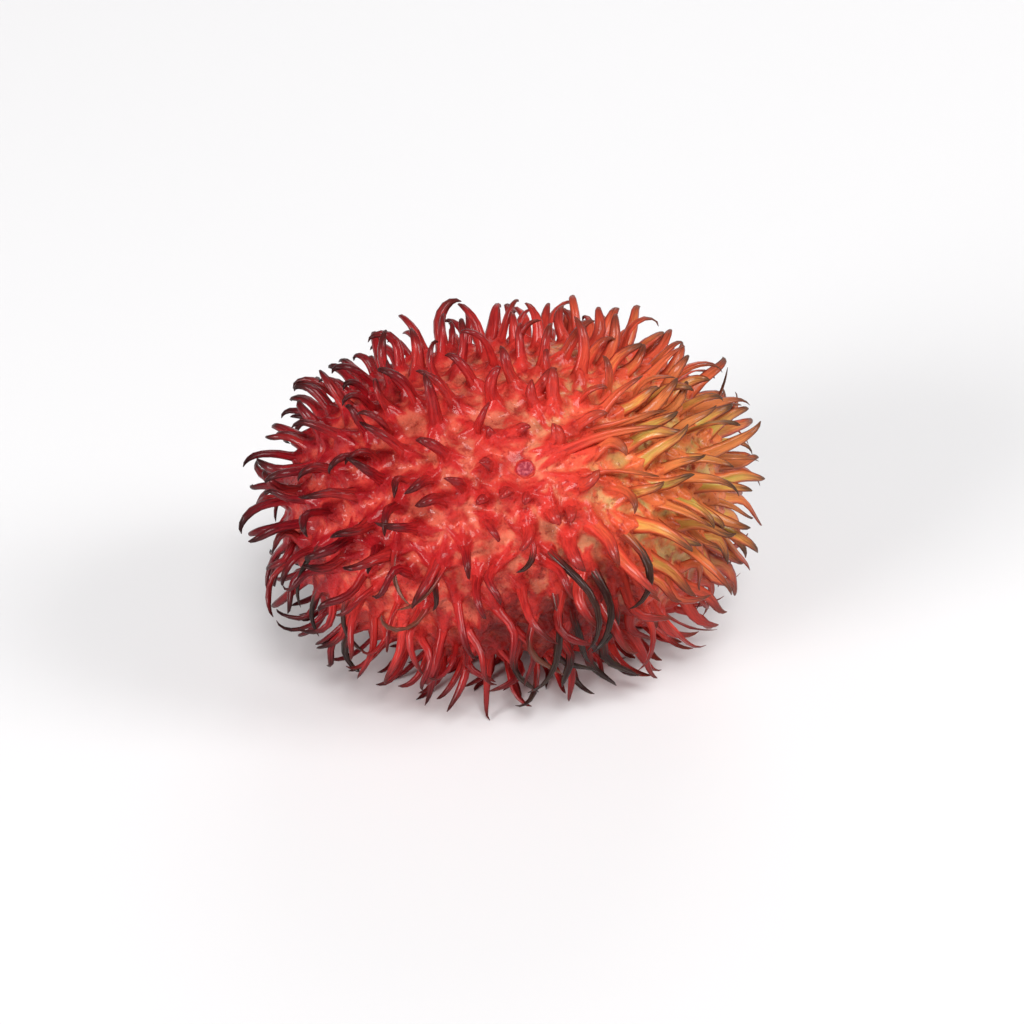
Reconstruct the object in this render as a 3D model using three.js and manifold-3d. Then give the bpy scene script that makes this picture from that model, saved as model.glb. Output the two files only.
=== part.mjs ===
// A ripe rambutan, picked, lying on its side. The rind and its soft spines grew as one piece, so the fruit is one
// solid: an ovoid rind with a few hundred curved spines fused to it, and a flat foot where the lowest spines are
// pressed against the surface. Millimetres. +X runs along the fruit towards its broader, less ripe end, +Z is up,
// and the origin is on the surface, straight under the middle of the fruit with its spines.
import * as THREE from "three";
import { mergeVertices } from "three/addons/utils/BufferGeometryUtils.js";
import Module from "manifold-3d";

const wasm = await Module();
wasm.setup();

// The rind, without its spines.
const HALF_LENGTH = 25.0;
const HALF_WIDTH = 17.9;
const HALF_HEIGHT = 17.4;
const FULLNESS = 2.35; // 2 is an ellipsoid, and more has fuller shoulders
const EGG = 0.06; // how much broader the +X half is than the -X half
const RISE = 0.6; // how far the +X end is raised by its breadth, and the -X end lowered
const LIFT = 2.2; // height of the rind's underside above the surface, where the spines carry it
const CENTRE_HEIGHT = LIFT + HALF_HEIGHT;
const CENTRE_ALONG = 0.1; // the rind's middle, from the middle of the fruit with its spines
const CENTRE_ACROSS = 0.2;
const RIND_DETAIL = 3;

// The spines.
const AREA_EACH = 14.0; // rind to each spine, square millimetres
const SEED = 128;
const LENGTH_SHORT = 6.1;
const LENGTH_SPREAD = 2.2;
const LENGTH_AT_BROAD_END = 1.4; // added there
const LENGTH_HANGING = 1.5; // added where the spines hang
const LENGTH_BY_SCAR = 0.5; // share of its length that a spine beside the scar has
const LENGTH_REACH = 12; // from the scar, where the spines have their whole length
const TIP_WIDTH = 0.1;
const SHAFT_WIDTH = 1.15; // added to the tip's width, and kept for most of the spine's length
const FLARE_WIDTH = 1.1; // added again at the root
const FLARE_REACH = 0.18; // share of the spine's length that the flared root takes
const BROADER_AT_END = 0.75; // added share of a spine's width at the broad end
const THICKNESS = 0.62; // a spine is a strap: its thickness as a share of its width
const ROOT_DEPTH = 1.6; // how far a spine's root is sunk into the rind
const FOOT_HEIGHT = 0.12; // centreline of a spine that lies on the surface
const SPINE_SIDES = 3;
const SPINE_STEPS = 12; // steps of the centreline
const BAND_ENDS = [0, 5, 9, 12]; // the steps where the solid's straight lengths meet, closer towards the hooked tip
const ALONG_JITTER = 0.9;
const AROUND_JITTER = 0.1; // radians

// The fruit's one small round scar, and the way the spines are swept.
const SCAR = new THREE.Vector3(0.7, -13.2, 11.8).normalize();
const SCAR_DISTANCE = 17; // from the rind's middle
const SCAR_RADIUS = 1.6;
const SWEPT = 0.14; // lean away from the scar
const SWEPT_AT_BROAD_END = 1.1; // added there
const SWEPT_REACH = 8;
const UPRIGHT_ON_TOP = 0.6; // share of the lean at the broad end that the top spines lose
const DROOP = 0.65; // lean downwards where the rind faces sideways or down
const DROOP_FROM = 0.45; // upward part of the rind's direction where the droop starts
const DROOP_TO = -0.2; // and where it's full
const LEAN_JITTER = 0.34;
const SPLAY = 0.9; // outward lean of the lowest spines

// Each spine's hooked end: which way along the rind it turns over, and how far.
const HOOK_AWAY = 0.55; // from the scar
const HOOK_DOWN = 0.2;
const HOOK_JITTER = 0.6;
const STRAIGHTER_BELOW = 0.6; // share of their bend that the lowest spines lose
const STRAIGHTER_LEANING = 0.45; // and that a spine flat along the rind loses
const BEND = THREE.MathUtils.degToRad(148);
const BEND_SPREAD = THREE.MathUtils.degToRad(42);
const BEND_POWER = 3.3;
const CURL_SPREAD = THREE.MathUtils.degToRad(80);
const CURL_POWER = 1.5;
const WAVE_SPREAD = 0.75;
const WAVE_STANDING = 0.6; // share of the wave that a standing spine has
const WAVE_HANGING = 0.6; // and that a hanging one has besides
const UP = new THREE.Vector3(0, 0, 1);

// A seeded random number from 0 to 1, and a centred one from -1 to 1 that is mostly near 0.
const RANDOM_FACTOR = 48271;
const RANDOM_MODULUS = 2147483647;
let randomState = SEED;
function draw() {
  randomState = (randomState * RANDOM_FACTOR) % RANDOM_MODULUS;
  return randomState / RANDOM_MODULUS;
}
function centredDraw() {
  return ((draw() + draw() + draw()) * 2) / 3 - 1;
}

// The rind's surface at a distance along the fruit and an angle round it, measured from the rind's middle.
function rindPoint(x, angle) {
  const share = x / HALF_LENGTH;
  const ring = Math.sqrt(Math.max(0, 1 - Math.abs(share) ** FULLNESS)) * (1 + EGG * share);
  const y = HALF_WIDTH * ring * Math.sin(angle);
  return new THREE.Vector3(x, y, HALF_HEIGHT * ring * Math.cos(angle) + RISE * share);
}

function rindNormal(point) {
  const share = point.x / HALF_LENGTH;
  const egg = 1 + EGG * share;
  const y = point.y / (HALF_WIDTH * egg);
  const z = (point.z - RISE * share) / (HALF_HEIGHT * egg);
  const taper = (FULLNESS / 2) * Math.sign(share) * Math.abs(share) ** (FULLNESS - 1);
  const rise = (RISE * z) / (HALF_HEIGHT * egg);
  const x = (taper - (EGG / egg) * (y * y + z * z) - rise) / HALF_LENGTH;
  return new THREE.Vector3(x, y / (HALF_WIDTH * egg), z / (HALF_HEIGHT * egg)).normalize();
}

function alongSurface(vector, normal) {
  return vector.clone().addScaledVector(normal, -vector.dot(normal));
}

// Spine roots on a golden-angle spiral along the fruit, with the same area of rind to each.
function spineRoots() {
  const girth = (HALF_WIDTH + HALF_HEIGHT) / 2;
  const goldenAngle = Math.PI * (3 - Math.sqrt(5));
  const end = 0.995 * HALF_LENGTH;
  const roots = [];
  for (let x = -end; x < end; ) {
    const share = Math.abs(x / HALF_LENGTH);
    const slope = (((girth / HALF_LENGTH) * FULLNESS) / 2) * share ** (FULLNESS - 1);
    const areaPerLength = 2 * Math.PI * girth * Math.hypot(Math.sqrt(1 - share ** FULLNESS), slope);
    const step = AREA_EACH / areaPerLength;
    const along = THREE.MathUtils.clamp(x + step / 2 + ALONG_JITTER * centredDraw(), -end, end);
    roots.push(rindPoint(along, roots.length * goldenAngle + AROUND_JITTER * centredDraw()));
    x += step;
  }
  return roots;
}

// The centreline of the spine that grows from a root, as points from the rind to the tip.
function spineLine(root) {
  const normal = rindNormal(root);
  const jitter = alongSurface(new THREE.Vector3(centredDraw(), centredDraw(), centredDraw()).normalize(), normal);
  const broad = Math.max(0, root.x / HALF_LENGTH);
  const low = Math.max(0, -normal.z - 0.3) / 0.7;
  const hanging = THREE.MathUtils.clamp((DROOP_FROM - normal.z) / (DROOP_FROM - DROOP_TO), 0, 1);
  const clear = Math.min(1, root.clone().addScaledVector(SCAR, -SCAR_DISTANCE).length() / LENGTH_REACH);
  const grown = LENGTH_SHORT + LENGTH_SPREAD * draw() + LENGTH_AT_BROAD_END * broad;
  const length = (grown + LENGTH_HANGING * hanging * (1 - low)) * (LENGTH_BY_SCAR + (1 - LENGTH_BY_SCAR) * clear);

  const away = alongSurface(root.clone().addScaledVector(SCAR, -SCAR_DISTANCE), normal);
  const topped = 1 - UPRIGHT_ON_TOP * Math.max(0, normal.z);
  const swept = (SWEPT + SWEPT_AT_BROAD_END * broad * topped) * Math.min(1, away.length() / SWEPT_REACH);
  away.normalize();
  const upwards = alongSurface(UP, normal);
  const outward = alongSurface(new THREE.Vector3(root.x, root.y, 0).normalize(), normal);
  const lean = new THREE.Vector3()
    .addScaledVector(away, swept)
    .addScaledVector(upwards, -DROOP * hanging)
    .addScaledVector(jitter, LEAN_JITTER)
    .multiplyScalar(1 - 0.8 * low)
    .addScaledVector(outward, SPLAY * low);
  const hook = new THREE.Vector3()
    .addScaledVector(away, HOOK_AWAY)
    .addScaledVector(upwards, -HOOK_DOWN)
    .addScaledVector(jitter, HOOK_JITTER)
    .multiplyScalar(1 - 0.8 * low)
    .addScaledVector(outward, low)
    .normalize();
  const side = normal.clone().cross(hook);
  const start = normal.clone().add(lean).normalize();
  const leaning = lean.length() / Math.hypot(1, lean.length());
  const straighter = (1 - STRAIGHTER_BELOW * low) * (1 - STRAIGHTER_LEANING * leaning);
  const bend = (BEND + BEND_SPREAD * centredDraw()) * straighter;
  const curl = CURL_SPREAD * centredDraw();
  const wave = WAVE_SPREAD * (WAVE_STANDING + WAVE_HANGING * hanging) * centredDraw();

  const step = length / SPINE_STEPS;
  const points = [root.clone()];
  for (let i = 0; i < SPINE_STEPS; i++) {
    const along = (i + 0.5) / SPINE_STEPS;
    const bent = bend * along ** BEND_POWER;
    const turn = curl * along ** CURL_POWER;
    const heading = start
      .clone()
      .multiplyScalar(Math.cos(bent))
      .addScaledVector(hook, Math.cos(turn) * Math.sin(bent))
      .addScaledVector(side, Math.sin(turn) * Math.sin(bent) + wave * Math.sin(2 * Math.PI * along))
      .normalize();
    points.push(nextPoint(points[i], heading, step));
  }
  return { points, normal, side };
}

// One step on from a point, kept from going under the surface that the fruit lies on.
function nextPoint(point, heading, step) {
  const floor = FOOT_HEIGHT - CENTRE_HEIGHT;
  if (point.z + step * heading.z < floor) {
    const rise = THREE.MathUtils.clamp((floor - point.z) / step, -1, 1);
    const level = Math.sqrt(1 - rise * rise) / Math.max(1e-6, Math.hypot(heading.x, heading.y));
    heading.set(heading.x * level, heading.y * level, rise);
  }
  return point.clone().addScaledVector(heading, step);
}

function spineWidth(along) {
  return TIP_WIDTH + SHAFT_WIDTH * (1 - along ** 3) ** 0.8 + FLARE_WIDTH * Math.exp(-((along / FLARE_REACH) ** 2));
}

// A closed solid for manifold-3d, from a three.js geometry.
function solidOf(geometry) {
  geometry.deleteAttribute("normal");
  geometry.deleteAttribute("uv");
  const merged = mergeVertices(geometry, 1e-4);
  return new wasm.Manifold(
    new wasm.Mesh({
      numProp: 3,
      vertProperties: merged.attributes.position.array,
      triVerts: new Uint32Array(merged.index.array),
    }),
  );
}

function geometryOf(solid) {
  const { vertProperties, triVerts } = solid.getMesh();
  const geometry = new THREE.BufferGeometry();
  geometry.setAttribute("position", new THREE.BufferAttribute(vertProperties, 3));
  geometry.setIndex(new THREE.BufferAttribute(triVerts, 1));
  geometry.computeVertexNormals();
  return geometry;
}

// The ovoid rind: a unit sphere stretched to the fruit's shape.
function rindSolid() {
  const geometry = new THREE.IcosahedronGeometry(1, RIND_DETAIL);
  const place = geometry.attributes.position;
  for (let i = 0; i < place.count; i++) {
    const share = Math.sign(place.getX(i)) * Math.abs(place.getX(i)) ** (2 / FULLNESS);
    const egg = 1 + EGG * share;
    const z = HALF_HEIGHT * egg * place.getZ(i) + RISE * share;
    place.setXYZ(i, HALF_LENGTH * share, HALF_WIDTH * egg * place.getY(i), z);
  }
  return solidOf(geometry);
}

// One spine: a unit cone bent along the spine's centreline and flattened to a strap.
function spineSolid(root) {
  const { points, normal, side } = spineLine(root);
  const bands = BAND_ENDS.length - 1;
  const girth = 1 + BROADER_AT_END * Math.max(0, root.x / HALF_LENGTH);
  const geometry = new THREE.ConeGeometry(1, 1, SPINE_SIDES, bands);
  const place = geometry.attributes.position;
  for (let i = 0; i < place.count; i++) {
    const band = Math.round((place.getY(i) + 0.5) * bands);
    const at = BAND_ENDS[band];
    const heading = points[Math.min(at + 1, SPINE_STEPS)].clone().sub(points[Math.max(at - 1, 0)]).normalize();
    const across = side.clone().addScaledVector(heading, -side.dot(heading)).normalize();
    const flat = across.clone().cross(heading);
    const halfWidth = band === bands ? 0 : (girth * spineWidth(at / SPINE_STEPS)) / 2 / (1 - band / bands);
    const centre = points[at].clone();
    if (band === 0) centre.addScaledVector(normal, -ROOT_DEPTH);
    centre.addScaledVector(across, place.getX(i) * halfWidth);
    centre.addScaledVector(flat, place.getZ(i) * halfWidth * THICKNESS);
    place.setXYZ(i, centre.x, centre.y, centre.z);
  }
  return solidOf(geometry);
}

// Everything under the surface that the fruit lies on, to cut the lowest spines flat.
function underFloor() {
  const depth = 10;
  const slab = new THREE.BoxGeometry(4 * HALF_LENGTH, 4 * HALF_WIDTH, depth);
  return solidOf(slab.translate(0, 0, -CENTRE_HEIGHT - depth / 2));
}

function fruitSolid() {
  const scar = SCAR.clone().multiplyScalar(SCAR_DISTANCE);
  const grown = [];
  for (const root of spineRoots()) {
    const spine = spineSolid(root);
    if (root.distanceTo(scar) > SCAR_RADIUS) grown.push(spine);
  }
  return outerBody(joined([rindSolid(), ...grown]).subtract(underFloor()));
}

// All the solids as one, joined in pairs, then the pairs in pairs.
function joined(solids) {
  if (solids.length === 1) return solids[0];
  const half = Math.ceil(solids.length / 2);
  return joined(solids.slice(0, half)).add(joined(solids.slice(half)));
}

// The largest of a solid's shells: hollows sealed between crossing spines are filled, and loose scraps dropped.
function outerBody(solid) {
  return solid.decompose().reduce((best, shell) => (shell.volume() > best.volume() ? shell : best));
}

const rindFinish = new THREE.MeshStandardMaterial({ color: 0xc23a2c, roughness: 0.5, metalness: 0 });

const fruit = new THREE.Mesh(geometryOf(fruitSolid()), rindFinish);
fruit.name = "rambutan";
fruit.position.set(CENTRE_ALONG, CENTRE_ACROSS, CENTRE_HEIGHT);

const rambutan = new THREE.Group();
rambutan.add(fruit);

export default rambutan;
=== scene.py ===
"""A ripe rambutan on its side.

It has an ovoid, leathery rind, crimson to olive, covered with soft, curved, tapering spines.
"""

import logging
import math
from dataclasses import dataclass, replace
from enum import Enum

import bmesh
import bpy
import numpy as np
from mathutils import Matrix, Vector, noise


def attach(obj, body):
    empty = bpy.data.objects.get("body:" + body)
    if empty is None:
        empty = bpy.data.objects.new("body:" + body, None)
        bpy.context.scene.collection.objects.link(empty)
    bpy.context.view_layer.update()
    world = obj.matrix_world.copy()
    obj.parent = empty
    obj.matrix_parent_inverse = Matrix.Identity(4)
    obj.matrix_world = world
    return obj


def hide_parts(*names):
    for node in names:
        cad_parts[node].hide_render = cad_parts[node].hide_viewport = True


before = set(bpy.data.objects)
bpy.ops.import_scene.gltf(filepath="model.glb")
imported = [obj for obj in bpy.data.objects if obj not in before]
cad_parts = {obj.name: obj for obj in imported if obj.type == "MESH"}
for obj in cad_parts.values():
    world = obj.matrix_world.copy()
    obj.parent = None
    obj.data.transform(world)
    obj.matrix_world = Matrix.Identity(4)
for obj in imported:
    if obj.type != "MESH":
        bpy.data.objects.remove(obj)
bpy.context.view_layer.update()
LOG = logging.getLogger("rambutan")

NODE = "rambutan"
BODY = "root"
MM = 0.001
TINY = 1e-12
SMALL = 1e-6
UP = np.array([0.0, 0.0, 1.0])

Colour = tuple[float, float, float, float]
Socket = bpy.types.NodeSocket


def unit(vector: np.ndarray) -> np.ndarray:
    """The same direction at length one."""
    return vector / max(float(np.linalg.norm(vector)), TINY)


def held(value: float, low: float = 0.0, high: float = 1.0) -> float:
    """A value kept between two limits."""
    return min(max(value, low), high)


def paint(red: int, green: int, blue: int) -> Colour:
    """A colour as a screen shows it, turned into the linear values that shaders use.

    Args:
        red: Red, from 0 to 255.
        green: Green, from 0 to 255.
        blue: Blue, from 0 to 255.

    Returns:
        Linear red, green and blue, and an alpha of 1.
    """

    def linear(value: int) -> float:
        """One channel's linear value."""
        share = value / 255
        return share / 12.92 if share <= 0.04045 else ((share + 0.055) / 1.055) ** 2.4

    return linear(red), linear(green), linear(blue), 1.0


class Draws:
    """A seeded run of random numbers, the same every time."""

    FACTOR = 48271
    MODULUS = 2147483647

    def __init__(self, seed: int) -> None:
        """Starts the run at a seed."""
        self.state = seed

    def draw(self) -> float:
        """The next number, from 0 to 1."""
        self.state = (self.state * self.FACTOR) % self.MODULUS
        return self.state / self.MODULUS

    def centred(self) -> float:
        """The next number from -1 to 1, mostly near 0."""
        return ((self.draw() + self.draw() + self.draw()) * 2) / 3 - 1


@dataclass(frozen=True)
class RindForm:
    """The smooth ovoid under the spines, in millimetres from its own middle."""

    half_length: float = 25.0
    half_width: float = 17.9
    half_height: float = 17.4
    fullness: float = 2.35
    egg: float = 0.06
    rise: float = 0.6
    lift: float = 2.2
    centre_along: float = 0.1
    centre_across: float = 0.2

    @property
    def centre_height(self) -> float:
        """Height of the rind's middle above the surface."""
        return self.lift + self.half_height

    def broad(self, point: np.ndarray) -> float:
        """How far towards the broad end a point is, from 0 at the middle to 1."""
        return max(0.0, point[0] / self.half_length)

    def point(self, along: float, angle: float) -> np.ndarray:
        """A point of the rind.

        Args:
            along: Distance along the fruit from its middle.
            angle: Angle round the fruit, from straight up, in radians.

        Returns:
            The point.
        """
        share = along / self.half_length
        ring = math.sqrt(max(0.0, 1 - abs(share) ** self.fullness)) * (1 + self.egg * share)
        across = self.half_width * ring * math.sin(angle)
        height = self.half_height * ring * math.cos(angle) + self.rise * share
        return np.array([along, across, height])

    def stretched(self, sphere: np.ndarray) -> np.ndarray:
        """The rind's points for points of a unit sphere.

        Args:
            sphere: Points of a unit sphere, one to a row.

        Returns:
            Points of the rind, one to a row.
        """
        share = np.sign(sphere[:, 0]) * np.abs(sphere[:, 0]) ** (2 / self.fullness)
        egg = 1 + self.egg * share
        across = self.half_width * egg * sphere[:, 1]
        height = self.half_height * egg * sphere[:, 2] + self.rise * share
        return np.stack([self.half_length * share, across, height], axis=1)

    def normals(self, points: np.ndarray) -> np.ndarray:
        """Outward directions at points of the rind.

        Args:
            points: Points of the rind, one to a row.

        Returns:
            Directions of length one, one to a row.
        """
        share = points[:, 0] / self.half_length
        egg = 1 + self.egg * share
        y = points[:, 1] / (self.half_width * egg)
        z = (points[:, 2] - self.rise * share) / (self.half_height * egg)
        taper = self.fullness / 2 * np.sign(share) * np.abs(share) ** (self.fullness - 1)
        rise = self.rise * z / (self.half_height * egg)
        x = (taper - self.egg / egg * (y * y + z * z) - rise) / self.half_length
        out = np.stack([x, y / (self.half_width * egg), z / (self.half_height * egg)], axis=1)
        return out / np.linalg.norm(out, axis=1, keepdims=True)

    def normal(self, point: np.ndarray) -> np.ndarray:
        """The outward direction at one point of the rind."""
        return self.normals(point[None])[0]

    def holds(self, point: np.ndarray) -> bool:
        """Tells whether a point is inside the smooth rind.

        Args:
            point: The point.

        Returns:
            True if it is inside.
        """
        share = point[0] / self.half_length
        egg = 1 + self.egg * share
        across = point[1] / (self.half_width * egg)
        height = (point[2] - self.rise * share) / (self.half_height * egg)
        return abs(share) ** self.fullness + across**2 + height**2 < 1

    def placed(self, points: np.ndarray) -> np.ndarray:
        """Points from the rind's middle, in millimetres, as metres from the fruit's origin."""
        centre = np.array([self.centre_along, self.centre_across, self.centre_height])
        return (points + centre) * MM


@dataclass
class SpineLine:
    """One spine's centreline and how it looks."""

    points: np.ndarray
    normal: np.ndarray
    side: np.ndarray
    shade: float = 0.5
    dried: float = 0.0
    girth: float = 1.0
    taper: float = 3.8
    flatness: float = 1.0

    @property
    def start(self) -> np.ndarray:
        """The direction in which the spine leaves the rind."""
        return unit(self.points[2] - self.points[0])

    @property
    def forward(self) -> np.ndarray:
        """The way along the rind in which the spine leans."""
        return unit(self.start - self.normal * float(self.start @ self.normal))


@dataclass(frozen=True)
class SpineRule:
    """Where the spines grow on the rind and how each one bends, in millimetres and radians."""

    # Where they grow: the rind to each one, and how far its root strays.
    area_each: float = 14.0
    seed: int = 128
    end_share: float = 0.995
    along_jitter: float = 0.9
    around_jitter: float = 0.1
    # How long they are.
    length_short: float = 6.1
    length_spread: float = 2.2
    length_at_broad_end: float = 1.4
    length_hanging: float = 1.5
    length_by_scar: float = 0.5
    length_reach: float = 12.0
    foot_height: float = 0.12
    steps: int = 12
    # The scar, which the spines turn away from.
    scar: tuple[float, float, float] = (0.7, -13.2, 11.8)
    scar_distance: float = 17.0
    scar_radius: float = 1.6
    # How they lean as they leave the rind.
    swept: float = 0.14
    swept_at_broad_end: float = 1.1
    swept_reach: float = 8.0
    upright_on_top: float = 0.6
    droop: float = 0.65
    droop_from: float = 0.45
    droop_to: float = -0.2
    lean_jitter: float = 0.34
    splay: float = 0.9
    low_from: float = 0.3
    level_below: float = 0.8
    # How they hook, curl and wave.
    hook_away: float = 0.55
    hook_down: float = 0.2
    hook_jitter: float = 0.6
    bend: float = math.radians(148)
    bend_spread: float = math.radians(42)
    bend_power: float = 3.3
    straighter_below: float = 0.6
    straighter_leaning: float = 0.45
    curl_spread: float = math.radians(80)
    curl_power: float = 1.5
    wave_spread: float = 0.75
    wave_on_top: float = 0.6
    wave_hanging: float = 0.6

    @property
    def scar_place(self) -> np.ndarray:
        """The scar's place, from the rind's middle."""
        return unit(np.array(self.scar)) * self.scar_distance

    def hanging(self, normal: np.ndarray) -> float:
        """How far the skin faces the side and below, from 0 on top to 1 low down."""
        return held((self.droop_from - normal[2]) / (self.droop_from - self.droop_to))

    def roots(self, form: RindForm, draws: Draws) -> list[np.ndarray]:
        """Roots on a golden-angle spiral along the fruit, with the same area of rind to each.

        Args:
            form: The rind that they grow on.
            draws: The run of random numbers, used in order.

        Returns:
            The roots.
        """
        girth = (form.half_width + form.half_height) / 2
        golden_angle = math.pi * (3 - math.sqrt(5))
        end = self.end_share * form.half_length
        roots: list[np.ndarray] = []
        x = -end
        while x < end:
            share = abs(x / form.half_length)
            slope = girth / form.half_length * form.fullness / 2 * share ** (form.fullness - 1)
            radius = math.hypot(math.sqrt(1 - share**form.fullness), slope)
            step = self.area_each / (2 * math.pi * girth * radius)
            along = held(x + step / 2 + self.along_jitter * draws.centred(), -end, end)
            angle = len(roots) * golden_angle + self.around_jitter * draws.centred()
            roots.append(form.point(along, angle))
            x += step
        return roots

    def line(
        self, form: RindForm, root: np.ndarray, draws: Draws, size: float = 1.0, limp: float = 1.0
    ) -> SpineLine:
        """The centreline of the spine that grows from a root.

        Args:
            form: The rind that it grows on.
            root: Where it grows.
            draws: The run of random numbers, used in order.
            size: How long it is, against the rule's length.
            limp: How wavy it is, against the rule's waves.

        Returns:
            The spine's line, from the rind to the tip.
        """
        normal = form.normal(root)
        jitter = unit(np.array([draws.centred(), draws.centred(), draws.centred()]))
        broad = form.broad(root)
        low = max(0.0, -normal[2] - self.low_from) / (1 - self.low_from)
        hanging = self.hanging(normal)

        def flat(vector: np.ndarray) -> np.ndarray:
            """The part of a vector that runs along the rind."""
            return vector - normal * float(vector @ normal)

        clear = min(1.0, float(np.linalg.norm(root - self.scar_place)) / self.length_reach)
        length = self.length_short + self.length_spread * draws.draw()
        length += self.length_at_broad_end * broad
        length += self.length_hanging * hanging * (1 - low)
        length *= self.length_by_scar + (1 - self.length_by_scar) * clear
        length *= size
        from_scar = flat(root - self.scar_place)
        away = unit(from_scar)
        on_top = self.upright_on_top * max(0.0, normal[2])
        swept = self.swept + self.swept_at_broad_end * broad * (1 - on_top)
        swept *= min(1.0, float(np.linalg.norm(from_scar)) / self.swept_reach)
        outward = flat(unit(np.array([root[0], root[1], 0.0])))
        lean = swept * away - self.droop * hanging * flat(UP) + self.lean_jitter * flat(jitter)
        lean = lean * (1 - self.level_below * low) + self.splay * low * outward
        hook = self.hook_away * away - self.hook_down * flat(UP) + self.hook_jitter * flat(jitter)
        hook = unit(hook * (1 - self.level_below * low) + low * outward)
        side = np.cross(normal, hook)
        leaning = float(np.linalg.norm(lean))
        start = unit(normal + lean)
        straighter = 1 - self.straighter_below * low
        straighter *= 1 - self.straighter_leaning * leaning / math.hypot(1.0, leaning)
        bend = (self.bend + self.bend_spread * draws.centred()) * straighter
        curl = self.curl_spread * draws.centred()
        wave = self.wave_spread * (self.wave_on_top + self.wave_hanging * hanging)
        wave = wave * limp * draws.centred()

        points = [root]
        for i in range(self.steps):
            along = (i + 0.5) / self.steps
            bent = bend * along**self.bend_power
            turn = curl * along**self.curl_power
            sideways = math.sin(turn) * math.sin(bent) + wave * math.sin(2 * math.pi * along)
            hooked = hook * math.cos(turn) * math.sin(bent)
            heading = unit(start * math.cos(bent) + hooked + side * sideways)
            points.append(self.next_point(form, points[-1], heading, length / self.steps))
        return SpineLine(np.array(points), normal, side)

    def next_point(
        self, form: RindForm, point: np.ndarray, heading: np.ndarray, step: float
    ) -> np.ndarray:
        """One step on from a point, kept from going under the surface that the fruit lies on.

        Args:
            form: The rind that the spine grows on.
            point: The point.
            heading: The way on, of length one.
            step: How far to go.

        Returns:
            The next point.
        """
        floor = self.foot_height - form.centre_height
        if point[2] + step * heading[2] < floor:
            rise = held((floor - point[2]) / step, -1.0, 1.0)
            level = math.sqrt(1 - rise * rise) / max(SMALL, math.hypot(heading[0], heading[1]))
            heading = np.array([heading[0] * level, heading[1] * level, rise])
        return point + heading * step


@dataclass(frozen=True)
class LimpSpine:
    """A long, limp spine that hangs from the rind or lies along it, in millimetres and degrees."""

    along: float
    angle: float
    length: float
    turn_at_root: float
    turn_at_tip: float
    wave: float = 0.0
    turn_power: float = 1.0
    lift_at_root: float = 38.0
    lift_at_tip: float = 98.0
    lift_power: float = 0.8
    dried: float = 0.8
    girth: float = 0.78
    taper: float = 4.0
    flatness: float = 1.35
    shade: float = 0.5
    steps: int = 12

    def line(self, form: RindForm, rule: SpineRule) -> SpineLine:
        """Its centreline, turned from straight down the rind and swaying from side to side.

        Args:
            form: The rind that it grows on.
            rule: The rule of the other spines, which keeps it above the surface.

        Returns:
            The spine's line, from the rind to the tip.
        """
        root = form.point(self.along, math.radians(self.angle))
        normal = form.normal(root)
        down = unit(normal * float(UP @ normal) - UP)
        side = np.cross(normal, down)
        lifting = self.lift_at_tip - self.lift_at_root
        turning = self.turn_at_tip - self.turn_at_root
        points = [root]
        for i in range(self.steps):
            along = (i + 0.5) / self.steps
            tilt = math.radians(self.lift_at_root + lifting * along**self.lift_power)
            turn = self.turn_at_root + turning * along**self.turn_power
            turn = math.radians(turn + self.wave * math.sin(2 * math.pi * along))
            flat = down * math.cos(turn) + side * math.sin(turn)
            heading = normal * math.cos(tilt) + flat * math.sin(tilt)
            points.append(rule.next_point(form, points[-1], heading, self.length / self.steps))
        return SpineLine(
            np.array(points), normal, side, self.shade, self.dried, self.girth, self.taper,
            self.flatness,
        )


class Kind(Enum):
    """A kind of spine, as its length and width against the rule's and how limply it hangs."""

    MAIN = (1.0, 1.0, 0.6)
    SLIGHTER = (0.8, 0.88, 1.6)


@dataclass(frozen=True)
class DriedPatch:
    """A place where spines have dried: its middle and radius in millimetres, and how far down."""

    centre: tuple[float, float, float]
    radius: float
    depth: float


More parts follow.
